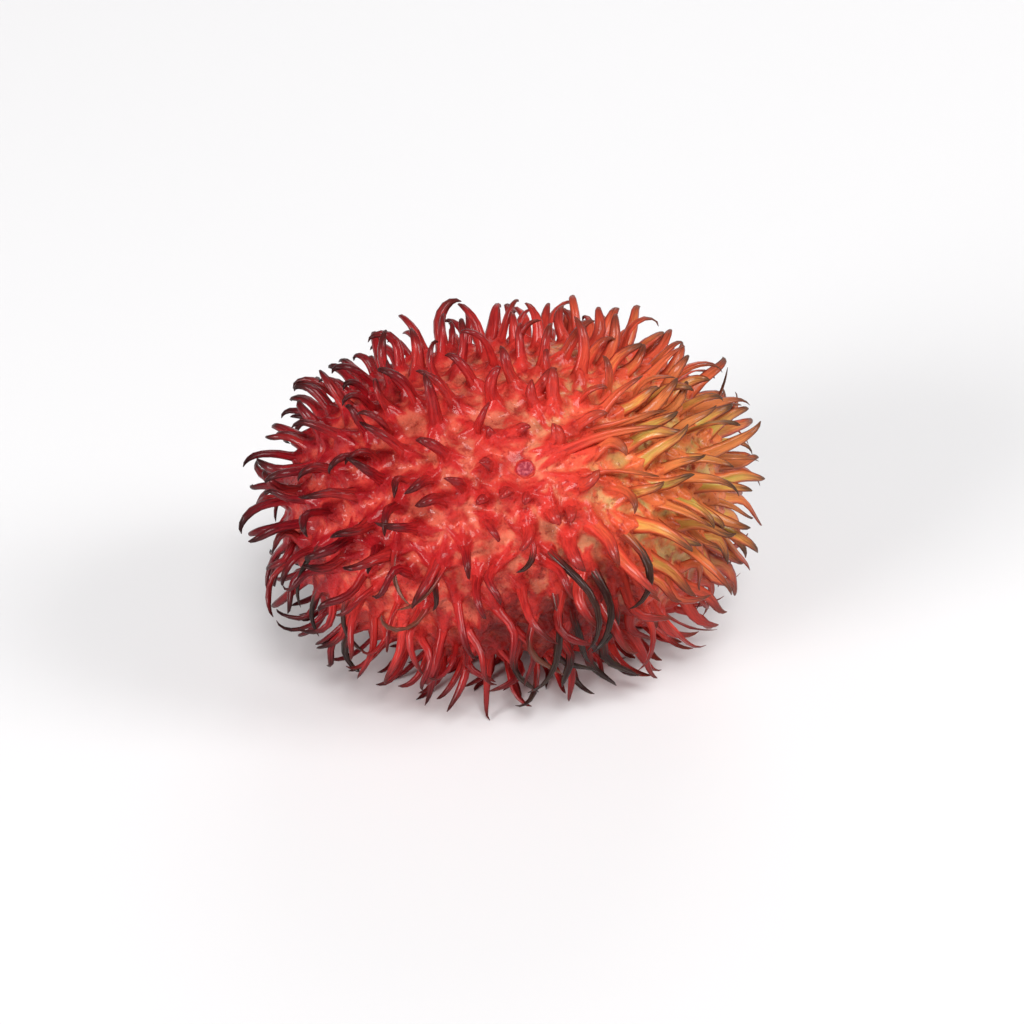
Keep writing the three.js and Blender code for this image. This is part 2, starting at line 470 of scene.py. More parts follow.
class Growth:
    """Every spine of the fruit, grown once and shared by the rind and the spines."""

    # The looks that some limp spines share.
    SWEPT = {"taper": 2.6, "flatness": 0.8}
    HANGING = {"taper": 3.4, "flatness": 1.1}
    WILTED = {"taper": 3.4, "flatness": 1.2}

    LIMP = (
        # Dark, wilted ones that cross each other low on the near side.
        LimpSpine(2.3, -76, 14.5, 46, -48, 6, turn_power=2.8, dried=0.9),
        LimpSpine(7.2, -85, 10.5, 30, -44, 4, turn_power=1.6, dried=0.9, girth=0.86),
        LimpSpine(10.3, -72, 11.5, 44, -82, 0, turn_power=1.7, dried=0.72, girth=0.92),
        LimpSpine(3.2, -92, 14.0, 14, -70, -6, turn_power=1.9, dried=0.86, girth=0.74),
        LimpSpine(9.6, -96, 9.0, 8, -46, 14, dried=0.66, girth=0.72),
        LimpSpine(5.4, -101, 8.5, -12, 40, 12, dried=0.8, girth=0.8),
        LimpSpine(0.2, -70, 5.8, 54, -78, 0, dried=0.5, girth=0.74),
        LimpSpine(-10.5, -78, 6.6, 70, -40, -20, dried=0.42, girth=0.74),
        LimpSpine(-20.6, -74, 9.5, -52, 34, 8, dried=0.8, girth=0.66),
        LimpSpine(-18.5, -104, 9.0, -34, 70, 0, dried=0.8, girth=0.66),
        # Long red ones, swept from the scar towards the broad end.
        LimpSpine(
            4.2, -43, 12.0, 101, 96, 5, lift_at_root=66, lift_at_tip=90, dried=0.08, girth=1.15,
            shade=0.05, **SWEPT,
        ),
        LimpSpine(
            7.2, -36, 10.0, 99, 86, -8, lift_at_root=64, lift_at_tip=90, dried=0.12, girth=1.05,
            shade=0.15, **SWEPT,
        ),
        LimpSpine(
            6.4, -52, 9.0, 90, 76, 7, lift_at_root=68, lift_at_tip=92, dried=0.1, girth=1.0,
            shade=0.1, **SWEPT,
        ),
        # Red ones that hang down low in front.
        LimpSpine(
            -5.8, -122, 9.0, -8, -44, 8, lift_at_root=24, lift_at_tip=46, dried=0.2, girth=0.95,
            shade=0.6, **HANGING,
        ),
        LimpSpine(
            -9.1, -125, 8.4, 6, -34, -8, lift_at_root=24, lift_at_tip=50, dried=0.24, girth=0.95,
            shade=0.3, **HANGING,
        ),
        LimpSpine(
            -3.4, -131, 9.0, -24, 14, 6, lift_at_root=18, lift_at_tip=40, dried=0.2, girth=0.9,
            shade=0.8, **HANGING,
        ),
        # Brown, wilted arcs on the lower front.
        LimpSpine(
            -13.6, -73, 8.0, 4, 66, 4, turn_power=1.4, lift_at_root=24, lift_at_tip=86, dried=0.6,
            girth=0.7, shade=0.95, **WILTED,
        ),
        LimpSpine(
            -8.4, -79, 8.6, -14, -84, -4, turn_power=1.4, lift_at_root=22, lift_at_tip=88,
            dried=0.6, girth=0.66, shade=0.92, **WILTED,
        ),
        LimpSpine(
            -10.4, -96, 9.6, 8, -196, 0, turn_power=1.1, lift_at_root=16, lift_at_tip=84,
            dried=0.72, girth=0.68, shade=0.98, **WILTED,
        ),
        # A thin one that stands up at the broad end.
        LimpSpine(
            22.6, -4, 7.4, 150, 176, 0, lift_at_root=12, lift_at_tip=52, dried=0.4, girth=0.62,
            taper=1.9, flatness=1.2, shade=0.2,
        ),
        # Dark hooks low at the narrow end.
        LimpSpine(
            -18.0, -127, 9.6, -24, 120, 0, turn_power=4.0, lift_at_root=34, lift_at_tip=84,
            dried=0.6, girth=0.9, taper=4.4, flatness=1.2, shade=0.3,
        ),
        LimpSpine(
            -21.2, -112, 8.5, -40, 30, 0, turn_power=1.4, lift_at_root=50, lift_at_tip=88,
            dried=0.7, girth=0.7, taper=4.0, flatness=1.2, shade=0.3,
        ),
    )

    DRIED_PATCHES = (
        DriedPatch((6.0, -17.6, -1.0), 4.4, 0.42),
        DriedPatch((4.2, -15.5, -8.0), 6.8, 0.8),
        DriedPatch((-21.0, -8.0, -6.5), 4.0, 0.5),
    )

    # Steps from the rule's seed to the seeds of the spines' looks and of the slighter spines.
    LOOKS_SEED = 7
    GAPS_SEED = 31

    # How far down from its tip a spine is dry, as a share of its length.
    DRIED = 0.12
    DRIED_SPREAD = 0.16
    DRIED_AT_NARROW_END = 0.1
    DRIED_LESS_HANGING = 0.35
    HANGING_DRY_FROM = -4.0
    PATCH_SPARED = 0.2
    PATCH_DRIED = 0.5
    PATCH_DRIED_SPREAD = 0.35
    WITHERED_FROM = 0.45

    # Length and limpness.
    LONGER_WITHERED = 0.5
    SHORTER_BY_SCAR = 0.42
    LIMP_EACH = 1.4
    LIMP_WITHERED = 2.5

    # Width.
    GIRTH = 0.86
    GIRTH_SPREAD = 0.28
    BROADER_AT_END = 0.56
    THINNER_WITHERED = 0.5
    THINNER_HANGING = 0.12
    BROADER_BY_SCAR = 0.4
    BROADER_ON_TOP = 0.2

    # How late a spine narrows, and how round its section is.
    TAPER = 3.8
    TAPER_AT_END = -2.0
    TAPER_BY_SCAR = 1.2
    TAPER_HANGING = 1.0
    ROUND_FLATNESS = 1.1
    STRAP_FLATNESS = 0.48
    STRAP_QUICKNESS = 1.6

    # Gaps in millimetres that take a slighter spine: on top, underneath and at the broad end.
    BETWEEN_AREA = 1.2
    BETWEEN_GAP = 2.3
    BETWEEN_GAP_BELOW = 2.45
    BETWEEN_GAP_AT_END = 1.95
    BELOW_DEPTH = 0.6
    END_FROM = 10.0
    CLEAR_OF_SCAR = 2.2

    def __init__(self, form: RindForm, rule: SpineRule) -> None:
        """Grows the spines by the rule, then the limp ones, then slighter ones between them.

        Args:
            form: The rind that they grow on.
            rule: The rule of the main spines.
        """
        self.form = form
        self.rule = rule
        self.looks = Draws(rule.seed + self.LOOKS_SEED)
        self.lines: list[SpineLine] = []
        draws = Draws(rule.seed)
        for root in rule.roots(form, draws):
            self.add(root, draws, Kind.MAIN)
        self.count_main = len(self.lines)
        self.lines += [spine.line(form, rule) for spine in self.LIMP]
        self.fill_gaps(Draws(rule.seed + self.GAPS_SEED))

    def add(self, root: np.ndarray, draws: Draws, kind: Kind) -> None:
        """Grows one spine, unless its root is in the scar.

        Args:
            root: Where it grows.
            draws: The run of random numbers for its line.
            kind: Which kind of spine it is.
        """
        length, girth, waving = kind.value
        shade, dried = self.looks.draw(), self.dried_at(root, self.looks.draw())
        withered = max(0.0, dried - self.WITHERED_FROM)
        from_scar = float(np.linalg.norm(root - self.rule.scar_place))
        by_scar = max(0.0, 1 - from_scar / self.rule.length_reach)
        hanging = self.rule.hanging(self.form.normal(root))
        broad = self.form.broad(root)
        size = (1 + self.LONGER_WITHERED * withered) * (1 - self.SHORTER_BY_SCAR * by_scar)
        limp = self.LIMP_EACH + self.LIMP_WITHERED * withered + waving * hanging
        line = self.rule.line(self.form, root, draws, length * size, limp)
        line.shade, line.dried = shade, dried
        line.girth = girth * (self.GIRTH + self.GIRTH_SPREAD * shade)
        line.girth *= 1 + self.BROADER_AT_END * broad
        line.girth *= 1 - self.THINNER_WITHERED * withered
        thinner = 1 - self.THINNER_HANGING * hanging * (1 - broad)
        line.girth *= thinner * (1 + self.BROADER_BY_SCAR * by_scar)
        line.girth *= 1 + self.BROADER_ON_TOP * (1 - hanging) * (1 - broad) * (1 - by_scar)
        line.taper = self.TAPER + self.TAPER_AT_END * broad + self.TAPER_BY_SCAR * by_scar
        line.taper += self.TAPER_HANGING * hanging * (1 - broad)
        flatter = self.ROUND_FLATNESS - self.STRAP_FLATNESS
        line.flatness = self.ROUND_FLATNESS - flatter * min(1.0, self.STRAP_QUICKNESS * broad)
        if from_scar > self.rule.scar_radius:
            self.lines.append(line)

    def fill_gaps(self, draws: Draws) -> None:
        """Grows a slighter spine wherever the others leave room.

        Args:
            draws: The run of random numbers for their places and lines.
        """
        taken = [line.points[0] for line in self.lines]
        for root in replace(self.rule, area_each=self.BETWEEN_AREA).roots(self.form, draws):
            gap = np.linalg.norm(np.array(taken) - root, axis=1).min()
            below = held(-float(self.form.normal(root)[2]) / self.BELOW_DEPTH)
            room = self.BETWEEN_GAP + (self.BETWEEN_GAP_BELOW - self.BETWEEN_GAP) * below
            if root[0] > self.END_FROM:
                room += (self.BETWEEN_GAP_AT_END - self.BETWEEN_GAP) * (1 - below)
            from_scar = np.linalg.norm(root - self.rule.scar_place)
            if gap > room and from_scar > self.CLEAR_OF_SCAR:
                taken.append(root)
                self.add(root, draws, Kind.SLIGHTER)

    def dried_at(self, root: np.ndarray, chance: float) -> float:
        """How far down from its tip a spine has dried, as a share of its length.

        Args:
            root: Where it grows.
            chance: A random number from 0 to 1.

        Returns:
            The dried share.
        """
        narrow = max(0.0, -root[0] / self.form.half_length)
        share = self.DRIED + self.DRIED_SPREAD * chance + self.DRIED_AT_NARROW_END * narrow
        if root[0] < self.HANGING_DRY_FROM:
            share *= 1 - self.DRIED_LESS_HANGING * self.rule.hanging(self.form.normal(root))
        for patch in self.DRIED_PATCHES:
            near = float(np.linalg.norm(root - np.array(patch.centre))) / patch.radius
            if near < 1 and chance > self.PATCH_SPARED:
                depth = patch.depth * (self.PATCH_DRIED + self.PATCH_DRIED_SPREAD * chance)
                share = max(share, depth)
        return share


class Nodes:
    """A node tree while it's being built, for shading or for geometry."""

    def __init__(self, tree: bpy.types.NodeTree) -> None:
        """Starts on a tree."""
        self.tree = tree

    def add(
        self, kind: str, settings: dict[str, object] | None = None, **inputs: object
    ) -> bpy.types.Node:
        """Adds one node.

        Args:
            kind: The node's type name.
            settings: Its own settings, by name.
            inputs: Values or sockets, by input name with _ for a space, or by number as i0, i1.

        Returns:
            The node.
        """
        node = self.tree.nodes.new(kind)
        for name, value in (settings or {}).items():
            setattr(node, name, value)
        for name, value in inputs.items():
            numbered = name[0] == "i" and name[1:].isdigit()
            self.put(node.inputs[int(name[1:]) if numbered else name.replace("_", " ")], value)
        return node

    def put(self, socket: Socket, value: object) -> None:
        """Links a socket to an input, or sets the input's value.

        Args:
            socket: The input.
            value: The value, or the socket to link.
        """
        if isinstance(value, Socket):
            self.tree.links.new(value, socket)
        else:
            socket.default_value = value

    def maths(self, operation: str, *values: object) -> Socket:
        """A Math node's result.

        Args:
            operation: What the node does.
            values: Its values or sockets.

        Returns:
            The result's socket.
        """
        node = self.add("ShaderNodeMath", {"operation": operation})
        for i, value in enumerate(values):
            self.put(node.inputs[i], value)
        return node.outputs[0]

    def plus(self, first: object, second: object) -> Socket:
        """Two values added."""
        return self.maths("ADD", first, second)

    def minus(self, first: object, second: object) -> Socket:
        """The second value taken from the first."""
        return self.maths("SUBTRACT", first, second)

    def times(self, first: object, second: object) -> Socket:
        """Two values multiplied."""
        return self.maths("MULTIPLY", first, second)

    def remap(
        self, value: object, low: object, high: object, to_low: object = 0.0,
        to_high: object = 1.0, smooth: bool = True,
    ) -> Socket:
        """A value carried from one range to another, and held inside it.

        Args:
            value: What to carry over.
            low: Where the first range starts.
            high: Where it ends.
            to_low: Where the second range starts.
            to_high: Where it ends.
            smooth: True to ease in and out.

        Returns:
            The result's socket.
        """
        kind = "SMOOTHSTEP" if smooth else "LINEAR"
        node = self.add("ShaderNodeMapRange", {"interpolation_type": kind, "clamp": True})
        for socket, what in zip(node.inputs, (value, low, high, to_low, to_high)):
            self.put(socket, what)
        return node.outputs[0]

    def ramp(self, value: object, places: tuple[float, ...], colours: tuple[Colour, ...]) -> Socket:
        """A colour ramp's result.

        Args:
            value: Where on the ramp.
            places: The colours' places on it, from 0 to 1.
            colours: The colours.

        Returns:
            The colour's socket.
        """
        node = self.add("ShaderNodeValToRGB", i0=value)
        elements = node.color_ramp.elements
        while len(elements) < len(places):
            elements.new(0.5)
        for element, place, colour in zip(elements, places, colours):
            element.position = place
            element.color = colour
        return node.outputs[0]

    def blend(self, share: object, first: object, second: object, mode: str = "MIX") -> Socket:
        """Two colours mixed.

        Args:
            share: How much of the second.
            first: The first colour.
            second: The second colour.
            mode: How they mix.

        Returns:
            The mixed colour's socket.
        """
        settings = {"data_type": "RGBA", "blend_type": mode, "clamp_factor": True}
        return self.add("ShaderNodeMix", settings, i0=share, i6=first, i7=second).outputs[2]

    def stained(self, share: object, first: object, second: object) -> Socket:
        """The first colour darkened by some of the second."""
        return self.blend(share, first, second, "MULTIPLY")

    def noise(
        self, place: object, scale: object, detail: float, roughness: float = 0.6
    ) -> bpy.types.NodeOutputs:
        """A Noise Texture's outputs.

        Args:
            place: Where it is read.
            scale: Its scale.
            detail: How many finer layers it has.
            roughness: How strong they are.

        Returns:
            The node's outputs: the value first, then the colour.
        """
        named = {"Vector": place, "Scale": scale, "Detail": detail, "Roughness": roughness}
        return self.add("ShaderNodeTexNoise", **named).outputs

    def distance(self, place: object, centre: tuple[float, float, float]) -> Socket:
        """How far a place is from a fixed point."""
        settings = {"operation": "DISTANCE"}
        return self.add("ShaderNodeVectorMath", settings, i0=place, i1=centre).outputs["Value"]

    def place(self) -> Socket:
        """The place on the piece, in metres, for shading."""
        return self.add("ShaderNodeTexCoord").outputs["Object"]

    def attribute(self, name: str) -> Socket:
        """A mesh attribute's value, for shading."""
        return self.add("ShaderNodeAttribute", {"attribute_name": name}).outputs["Fac"]

    def named(self, name: str, kind: str = "FLOAT") -> Socket:
        """A mesh attribute's value, for geometry."""
        settings = {"data_type": kind}
        return self.add("GeometryNodeInputNamedAttribute", settings, Name=name).outputs[0]

    def moved(self, straps: Socket, way: object, amount: object) -> Socket:
        """A geometry with each point moved.

        Args:
            straps: The geometry.
            way: The direction for each point.
            amount: How far along it, in metres.

        Returns:
            The moved geometry.
        """
        settings = {"operation": "SCALE"}
        push = self.add("ShaderNodeVectorMath", settings, i0=way, Scale=amount).outputs[0]
        return self.add("GeometryNodeSetPosition", Geometry=straps, Offset=push).outputs[0]


class Groups:
    """Shader groups that the rind, the spines and the scar share, each built once."""

    # Middles of the patches of colour, in metres.
    OLIVE_CENTRE = (0.0205, -0.0105, 0.0275)
    WARM_CENTRE = (-0.0165, -0.0135, 0.0125)
    BRUISE_CENTRE = (0.006, -0.0175, 0.012)
    SCAR_CENTRE = (0.0007, -0.013, 0.0315)

    # Where each patch starts to show and where it's full, in metres from its middle.
    OLIVE_ONSET = (0.018, 0.006)
    OLIVE_FULL = (0.015, 0.005)
    WARM_ONSET = (0.010, 0.003)
    BRUISE_ONSET = (0.0125, 0.005)

    # How much further along the ripening the olive and the warm patch are.
    OLIVE_STEP = 0.3
    WARM_STEP = 0.24

    # The ripening runs from the crimson end to the olive end, in metres. It is ragged by the
    # blotches and tilted: the upper side of the broad end is the least red.
    RIPE_ENDS = (-0.030, 0.046)
    ALONG_SHARE = 0.9
    TILT = 0.47
    TILT_LEVEL = 0.021
    TILT_ONSET = (-0.008, 0.01)
    WANDER = 0.02
    OLIVE_WANDER = 0.4
    BRUISE_WANDER = 0.8
    UNRIPE_ONSET = (0.52, 0.85)

    FINER = 6.0

    # The colours along the ripening, from crimson to olive.
    PLACES = (0.0, 0.2, 0.42, 0.6, 0.78, 1.0)
    PALETTES = {
        "Ridge": (
            paint(106, 9, 22), paint(158, 22, 28), paint(194, 46, 41),
            paint(208, 64, 49), paint(216, 88, 56), paint(218, 118, 68),
        ),
        "Hollow": (
            paint(134, 22, 28), paint(190, 54, 46), paint(210, 82, 64),
            paint(220, 124, 86), paint(218, 156, 100), paint(212, 162, 96),
        ),
        "Outer": (
            paint(48, 3, 14), paint(84, 8, 18), paint(136, 24, 28),
            paint(168, 48, 40), paint(200, 90, 56), paint(204, 120, 70),
        ),
        "Pale": (
            paint(158, 40, 38), paint(202, 80, 64), paint(208, 114, 88),
            paint(208, 154, 108), paint(200, 168, 108), paint(194, 166, 98),
        ),
        "Tip": (
            paint(10, 3, 6), paint(20, 6, 10), paint(78, 24, 22),
            paint(118, 52, 38), paint(88, 62, 46), paint(66, 54, 42),
        ),
    }
    OLIVE_TINTS = {
        "Ridge": (0.15, paint(214, 120, 52)),
        "Hollow": (0.9, paint(186, 156, 84)),
        "Outer": (0.35, paint(176, 112, 50)),
    }
    MIDDLE = paint(224, 152, 78)
    OLIVE_MIDDLE = paint(190, 166, 74)

    @staticmethod
    def start(
        name: str, inputs: dict[str, str], outputs: dict[str, str]
    ) -> tuple[Nodes, dict[str, Socket], dict[str, Socket]]:
        """Starts a shader group.

        Args:
            name: Its name.
            inputs: The inputs' socket types, by name.
            outputs: The outputs' socket types, by name.

        Returns:
            The nodes to build with, the input sockets by name, and the output sockets by name.
        """
        tree = bpy.data.node_groups.new(name, "ShaderNodeTree")
        for way, sockets in (("INPUT", inputs), ("OUTPUT", outputs)):
            for label, kind in sockets.items():
                tree.interface.new_socket(label, in_out=way, socket_type=f"NodeSocket{kind}")
        given = {s.name: s for s in tree.nodes.new("NodeGroupInput").outputs if s.name}
        made = {s.name: s for s in tree.nodes.new("NodeGroupOutput").inputs if s.name}
        return Nodes(tree), given, made

    @classmethod
    def mottle(cls) -> bpy.types.NodeTree:
        """Blotches and fine speckle over a plant's skin, as values round 0.5.

        Returns:
            The group.
        """
        found = bpy.data.node_groups.get("skin_mottle")
        if found:
            return found
        nodes, given, made = cls.start(
            "skin_mottle",
            {"Vector": "Vector", "Size": "Float"},
            {"Blotches": "Float", "Speckle": "Float"},
        )
        scale = nodes.maths("DIVIDE", 1.0, given["Size"])
        nodes.put(made["Blotches"], nodes.noise(given["Vector"], scale, detail=3.0)[0])
        fine = nodes.times(scale, cls.FINER)
        speckle = nodes.noise(given["Vector"], fine, detail=4.0, roughness=0.65)[0]
        nodes.put(made["Speckle"], speckle)
        return nodes.tree

    @classmethod
    def ripeness(cls) -> bpy.types.NodeTree:
        """The skin's own colours: deep crimson at one end, then red, orange and olive.

        Returns:
            The group.
        """
        found = bpy.data.node_groups.get("skin_ripeness")
        if found:
            return found
        colours = ("Ridge", "Hollow", "Outer", "Middle", "Pale", "Tip")
        nodes, given, made = cls.start(
            "skin_ripeness",
            {"Vector": "Vector", "Blotches": "Float"},
            dict.fromkeys(colours, "Color") | {"Unripe": "Float", "Bruise": "Float"},
        )
        where = given["Vector"]
        along, _, level = nodes.add("ShaderNodeSeparateXYZ", i0=where).outputs
        wander = nodes.times(nodes.minus(given["Blotches"], 0.5), cls.WANDER)
        high = nodes.times(nodes.minus(level, cls.TILT_LEVEL), cls.TILT)
        high = nodes.times(high, nodes.remap(along, *cls.TILT_ONSET))
        front = nodes.plus(nodes.times(along, cls.ALONG_SHARE), high)
        ripe = nodes.remap(nodes.plus(front, wander), *cls.RIPE_ENDS, smooth=False)
        olive = nodes.distance(where, cls.OLIVE_CENTRE)
        olive = nodes.plus(olive, nodes.times(wander, cls.OLIVE_WANDER))
        ripe = nodes.plus(ripe, nodes.remap(olive, *cls.OLIVE_ONSET, 0.0, cls.OLIVE_STEP))
        warm = nodes.distance(where, cls.WARM_CENTRE)
        ripe = nodes.plus(ripe, nodes.remap(warm, *cls.WARM_ONSET, 0.0, cls.WARM_STEP))
        olive = nodes.remap(olive, *cls.OLIVE_FULL)
        skin = {name: nodes.ramp(ripe, cls.PLACES, row) for name, row in cls.PALETTES.items()}
        for name, (share, tint) in cls.OLIVE_TINTS.items():
            skin[name] = nodes.blend(nodes.times(olive, share), skin[name], tint)
        skin["Middle"] = nodes.blend(olive, cls.MIDDLE, cls.OLIVE_MIDDLE)
        skin["Unripe"] = nodes.remap(ripe, *cls.UNRIPE_ONSET)
        bruise = nodes.distance(where, cls.BRUISE_CENTRE)
        bruise = nodes.plus(bruise, nodes.times(wander, cls.BRUISE_WANDER))
        skin["Bruise"] = nodes.remap(bruise, *cls.BRUISE_ONSET)
        for name, socket in skin.items():
            nodes.put(made[name], socket)
        return nodes.tree


@dataclass(frozen=True)
class SkinFinish:
    """How a fruit's skin takes light."""

    name: str
    roughness: float
    coat: float
    subsurface: float
    depth: float
    bump: float
    relief: float

    # How far red, green and blue light travel under the skin, against its depth.
    LIGHT_REACH = (1.0, 0.22, 0.12)
    COAT_ROUGHNESS = 0.15
    REFRACTION = 1.4
    SPECULAR = 0.1
    MOTTLE_SIZE = 0.006
    SPECKLE_SPAN = (0.25, 0.75)
    SMOOTHER = 0.1
    ROUGHER = 0.12

    def start(self) -> tuple[bpy.types.Material, Nodes, bpy.types.Node]:
        """A new material with its shader set.

        Returns:
            The material, its nodes, and its shader node.
        """
        material = bpy.data.materials.new(self.name)
        material.use_nodes = True
        shader = material.node_tree.nodes["Principled BSDF"]
        shader.subsurface_method = "RANDOM_WALK"
        for label, value in (
            ("Subsurface Weight", self.subsurface),
            ("Subsurface Radius", self.LIGHT_REACH),
            ("Subsurface Scale", self.depth),
            ("Coat Weight", self.coat),
            ("Coat Roughness", self.COAT_ROUGHNESS),
            ("IOR", self.REFRACTION),
            ("Specular IOR Level", self.SPECULAR),
        ):
            shader.inputs[label].default_value = value
        return material, Nodes(material.node_tree), shader

    def tinted(self, nodes: Nodes) -> dict[str, Socket]:
        """The skin's colours and mottling at each place.

        Args:
            nodes: The material's nodes.

        Returns:
            The outputs of both skin groups, by name.
        """
        given = {"Vector": nodes.place()}
        settings = {"node_tree": Groups.mottle()}
        mottle = nodes.add("ShaderNodeGroup", settings, Size=self.MOTTLE_SIZE, **given).outputs
        given["Blotches"] = mottle["Blotches"]
        ripe = nodes.add("ShaderNodeGroup", {"node_tree": Groups.ripeness()}, **given).outputs
        return {socket.name: socket for socket in (*ripe, *mottle)}

    def roughened(
        self, nodes: Nodes, shader: bpy.types.Node, speckle: object, height: object
    ) -> None:
        """Sets the shader's uneven roughness and its fine relief.

        Args:
            nodes: The material's nodes.
            shader: The shader node.
            speckle: Fine speckle round 0.5.
            height: Height of the fine relief, from 0 to 1.
        """
        least, most = self.roughness - self.SMOOTHER, self.roughness + self.ROUGHER
        rough = nodes.remap(speckle, *self.SPECKLE_SPAN, least, most, smooth=False)
        nodes.put(shader.inputs["Roughness"], rough)
        sizes = {"Strength": self.bump, "Distance": self.relief, "Height": height}
        nodes.put(shader.inputs["Normal"], nodes.add("ShaderNodeBump", **sizes).outputs[0])


@dataclass(frozen=True)
class RindFinish(SkinFinish):
    """The rind: tan and coral in the hollows, red on the folds, finely wrinkled."""

    # Texture scales, each one over a size in metres.
    STIR_SCALE = 330.0
    STIR_REACH = 0.0024
    VEIN_SCALE = 360.0
    WRINKLE_SCALE = 1500.0
    VEIN_HEIGHT = 0.6

    # Where each colour starts to show and where it's full.
    VEIN_SPAN = (0.3, 0.02)
    RAISED_SPAN = (0.12, 0.5)
    # The painted shade in the lowest hollows, by how raised the skin is.
    PAINTED_CREASE_SHADE_SPAN = (0.08, 0.0)
    PALE_SPAN = (0.45, 0.58)
    PALE_OFF_RIDGES = (0.7, 0.1)
    DEEP_SPAN = (0.47, 0.34)

    # Heights in metres between which painted light makes the rind paler upwards and painted shade
    # makes it darker downwards.
    PAINTED_TOP_LIGHT_LEVELS = (0.008, 0.02)
    PAINTED_SHADE_BELOW_LEVELS = (0.017, 0.006)

    # Shares of the colours where they're full.
    VEIN_SHARE = 0.75
    PAINTED_TOP_LIGHT_SHARES = (0.3, 0.75)
    PAINTED_SHADE_BELOW_SHARE = 0.8
    DEEP_SHARE = 0.6
    PAINTED_CREASE_SHADE_SHARE = 0.35
    BRUISE_SHARE = 0.8

    # Painted shade, multiplied into the rind towards its underside.
    PAINTED_SHADE_BELOW = paint(216, 140, 140)
    DEEP_RED = paint(146, 20, 26)
    # Painted shade, multiplied into the lowest hollows.
    PAINTED_CREASE_SHADE = paint(176, 70, 44)
    BRUISE = paint(140, 96, 100)

    def make(self) -> bpy.types.Material:
        """The rind's material.

        Returns:
            The material.
        """
        material, nodes, shader = self.start()
        skin = self.tinted(nodes)
        place = nodes.place()
        stir = nodes.noise(place, self.STIR_SCALE, detail=3.0)
        up = nodes.attribute("raised")
        raised = nodes.remap(up, *self.RAISED_SPAN)
        vein = self.veins(nodes, place, stir["Color"])
        red = nodes.maths("MAXIMUM", raised, nodes.times(vein, self.VEIN_SHARE))
        colour = nodes.blend(red, skin["Hollow"], skin["Ridge"])
        pale = nodes.remap(raised, *self.PALE_OFF_RIDGES)
        pale = nodes.times(nodes.remap(stir[0], *self.PALE_SPAN), pale)
        level = nodes.add("ShaderNodeSeparateXYZ", i0=place).outputs[2]
        # Painted light: the pale patches, which are the skin's own, are made stronger the higher
        # they lie on the rind.
        pale = nodes.times(pale, nodes.remap(level, *self.PAINTED_TOP_LIGHT_LEVELS, *self.PAINTED_TOP_LIGHT_SHARES))
        colour = nodes.blend(pale, colour, skin["Pale"])
        # Painted shade: the rind is darkened towards its underside.
        under = nodes.remap(level, *self.PAINTED_SHADE_BELOW_LEVELS, 0.0, self.PAINTED_SHADE_BELOW_SHARE)
        colour = nodes.stained(under, colour, self.PAINTED_SHADE_BELOW)
        deep = nodes.times(nodes.remap(skin["Speckle"], *self.DEEP_SPAN), self.DEEP_SHARE)
        colour = nodes.blend(deep, colour, self.DEEP_RED)
        # Painted shade: the lowest hollows, away from the cones and ridges, are darkened.
        painted_crease_shade = nodes.remap(up, *self.PAINTED_CREASE_SHADE_SPAN, 0.0, self.PAINTED_CREASE_SHADE_SHARE)
        colour = nodes.stained(painted_crease_shade, colour, self.PAINTED_CREASE_SHADE)
        bruise = nodes.times(skin["Bruise"], self.BRUISE_SHARE)
        nodes.put(shader.inputs["Base Color"], nodes.stained(bruise, colour, self.BRUISE))
        wrinkles = nodes.noise(place, self.WRINKLE_SCALE, detail=3.0)[0]
        height = nodes.plus(nodes.times(vein, self.VEIN_HEIGHT), wrinkles)
        self.roughened(nodes, shader, skin["Speckle"], height)
        return material

    def veins(self, nodes: Nodes, place: Socket, stir: Socket) -> Socket:
        """A net of wandering veins.

        Args:
            nodes: The material's nodes.
            place: The place on the rind.
            stir: What makes the veins wander.

        Returns:
            The veins, from 0 between them to 1 on them.
        """
        settings = {"operation": "SCALE"}
        shift = nodes.add("ShaderNodeVectorMath", settings, i0=stir, Scale=self.STIR_REACH)
        settings = {"operation": "ADD"}
        stirred = nodes.add("ShaderNodeVectorMath", settings, i0=place, i1=shift.outputs[0])
        settings = {"feature": "DISTANCE_TO_EDGE"}
        sizes = {"Vector": stirred.outputs[0], "Scale": self.VEIN_SCALE}
        net = nodes.add("ShaderNodeTexVoronoi", settings, **sizes).outputs["Distance"]
        return nodes.remap(net, *self.VEIN_SPAN)


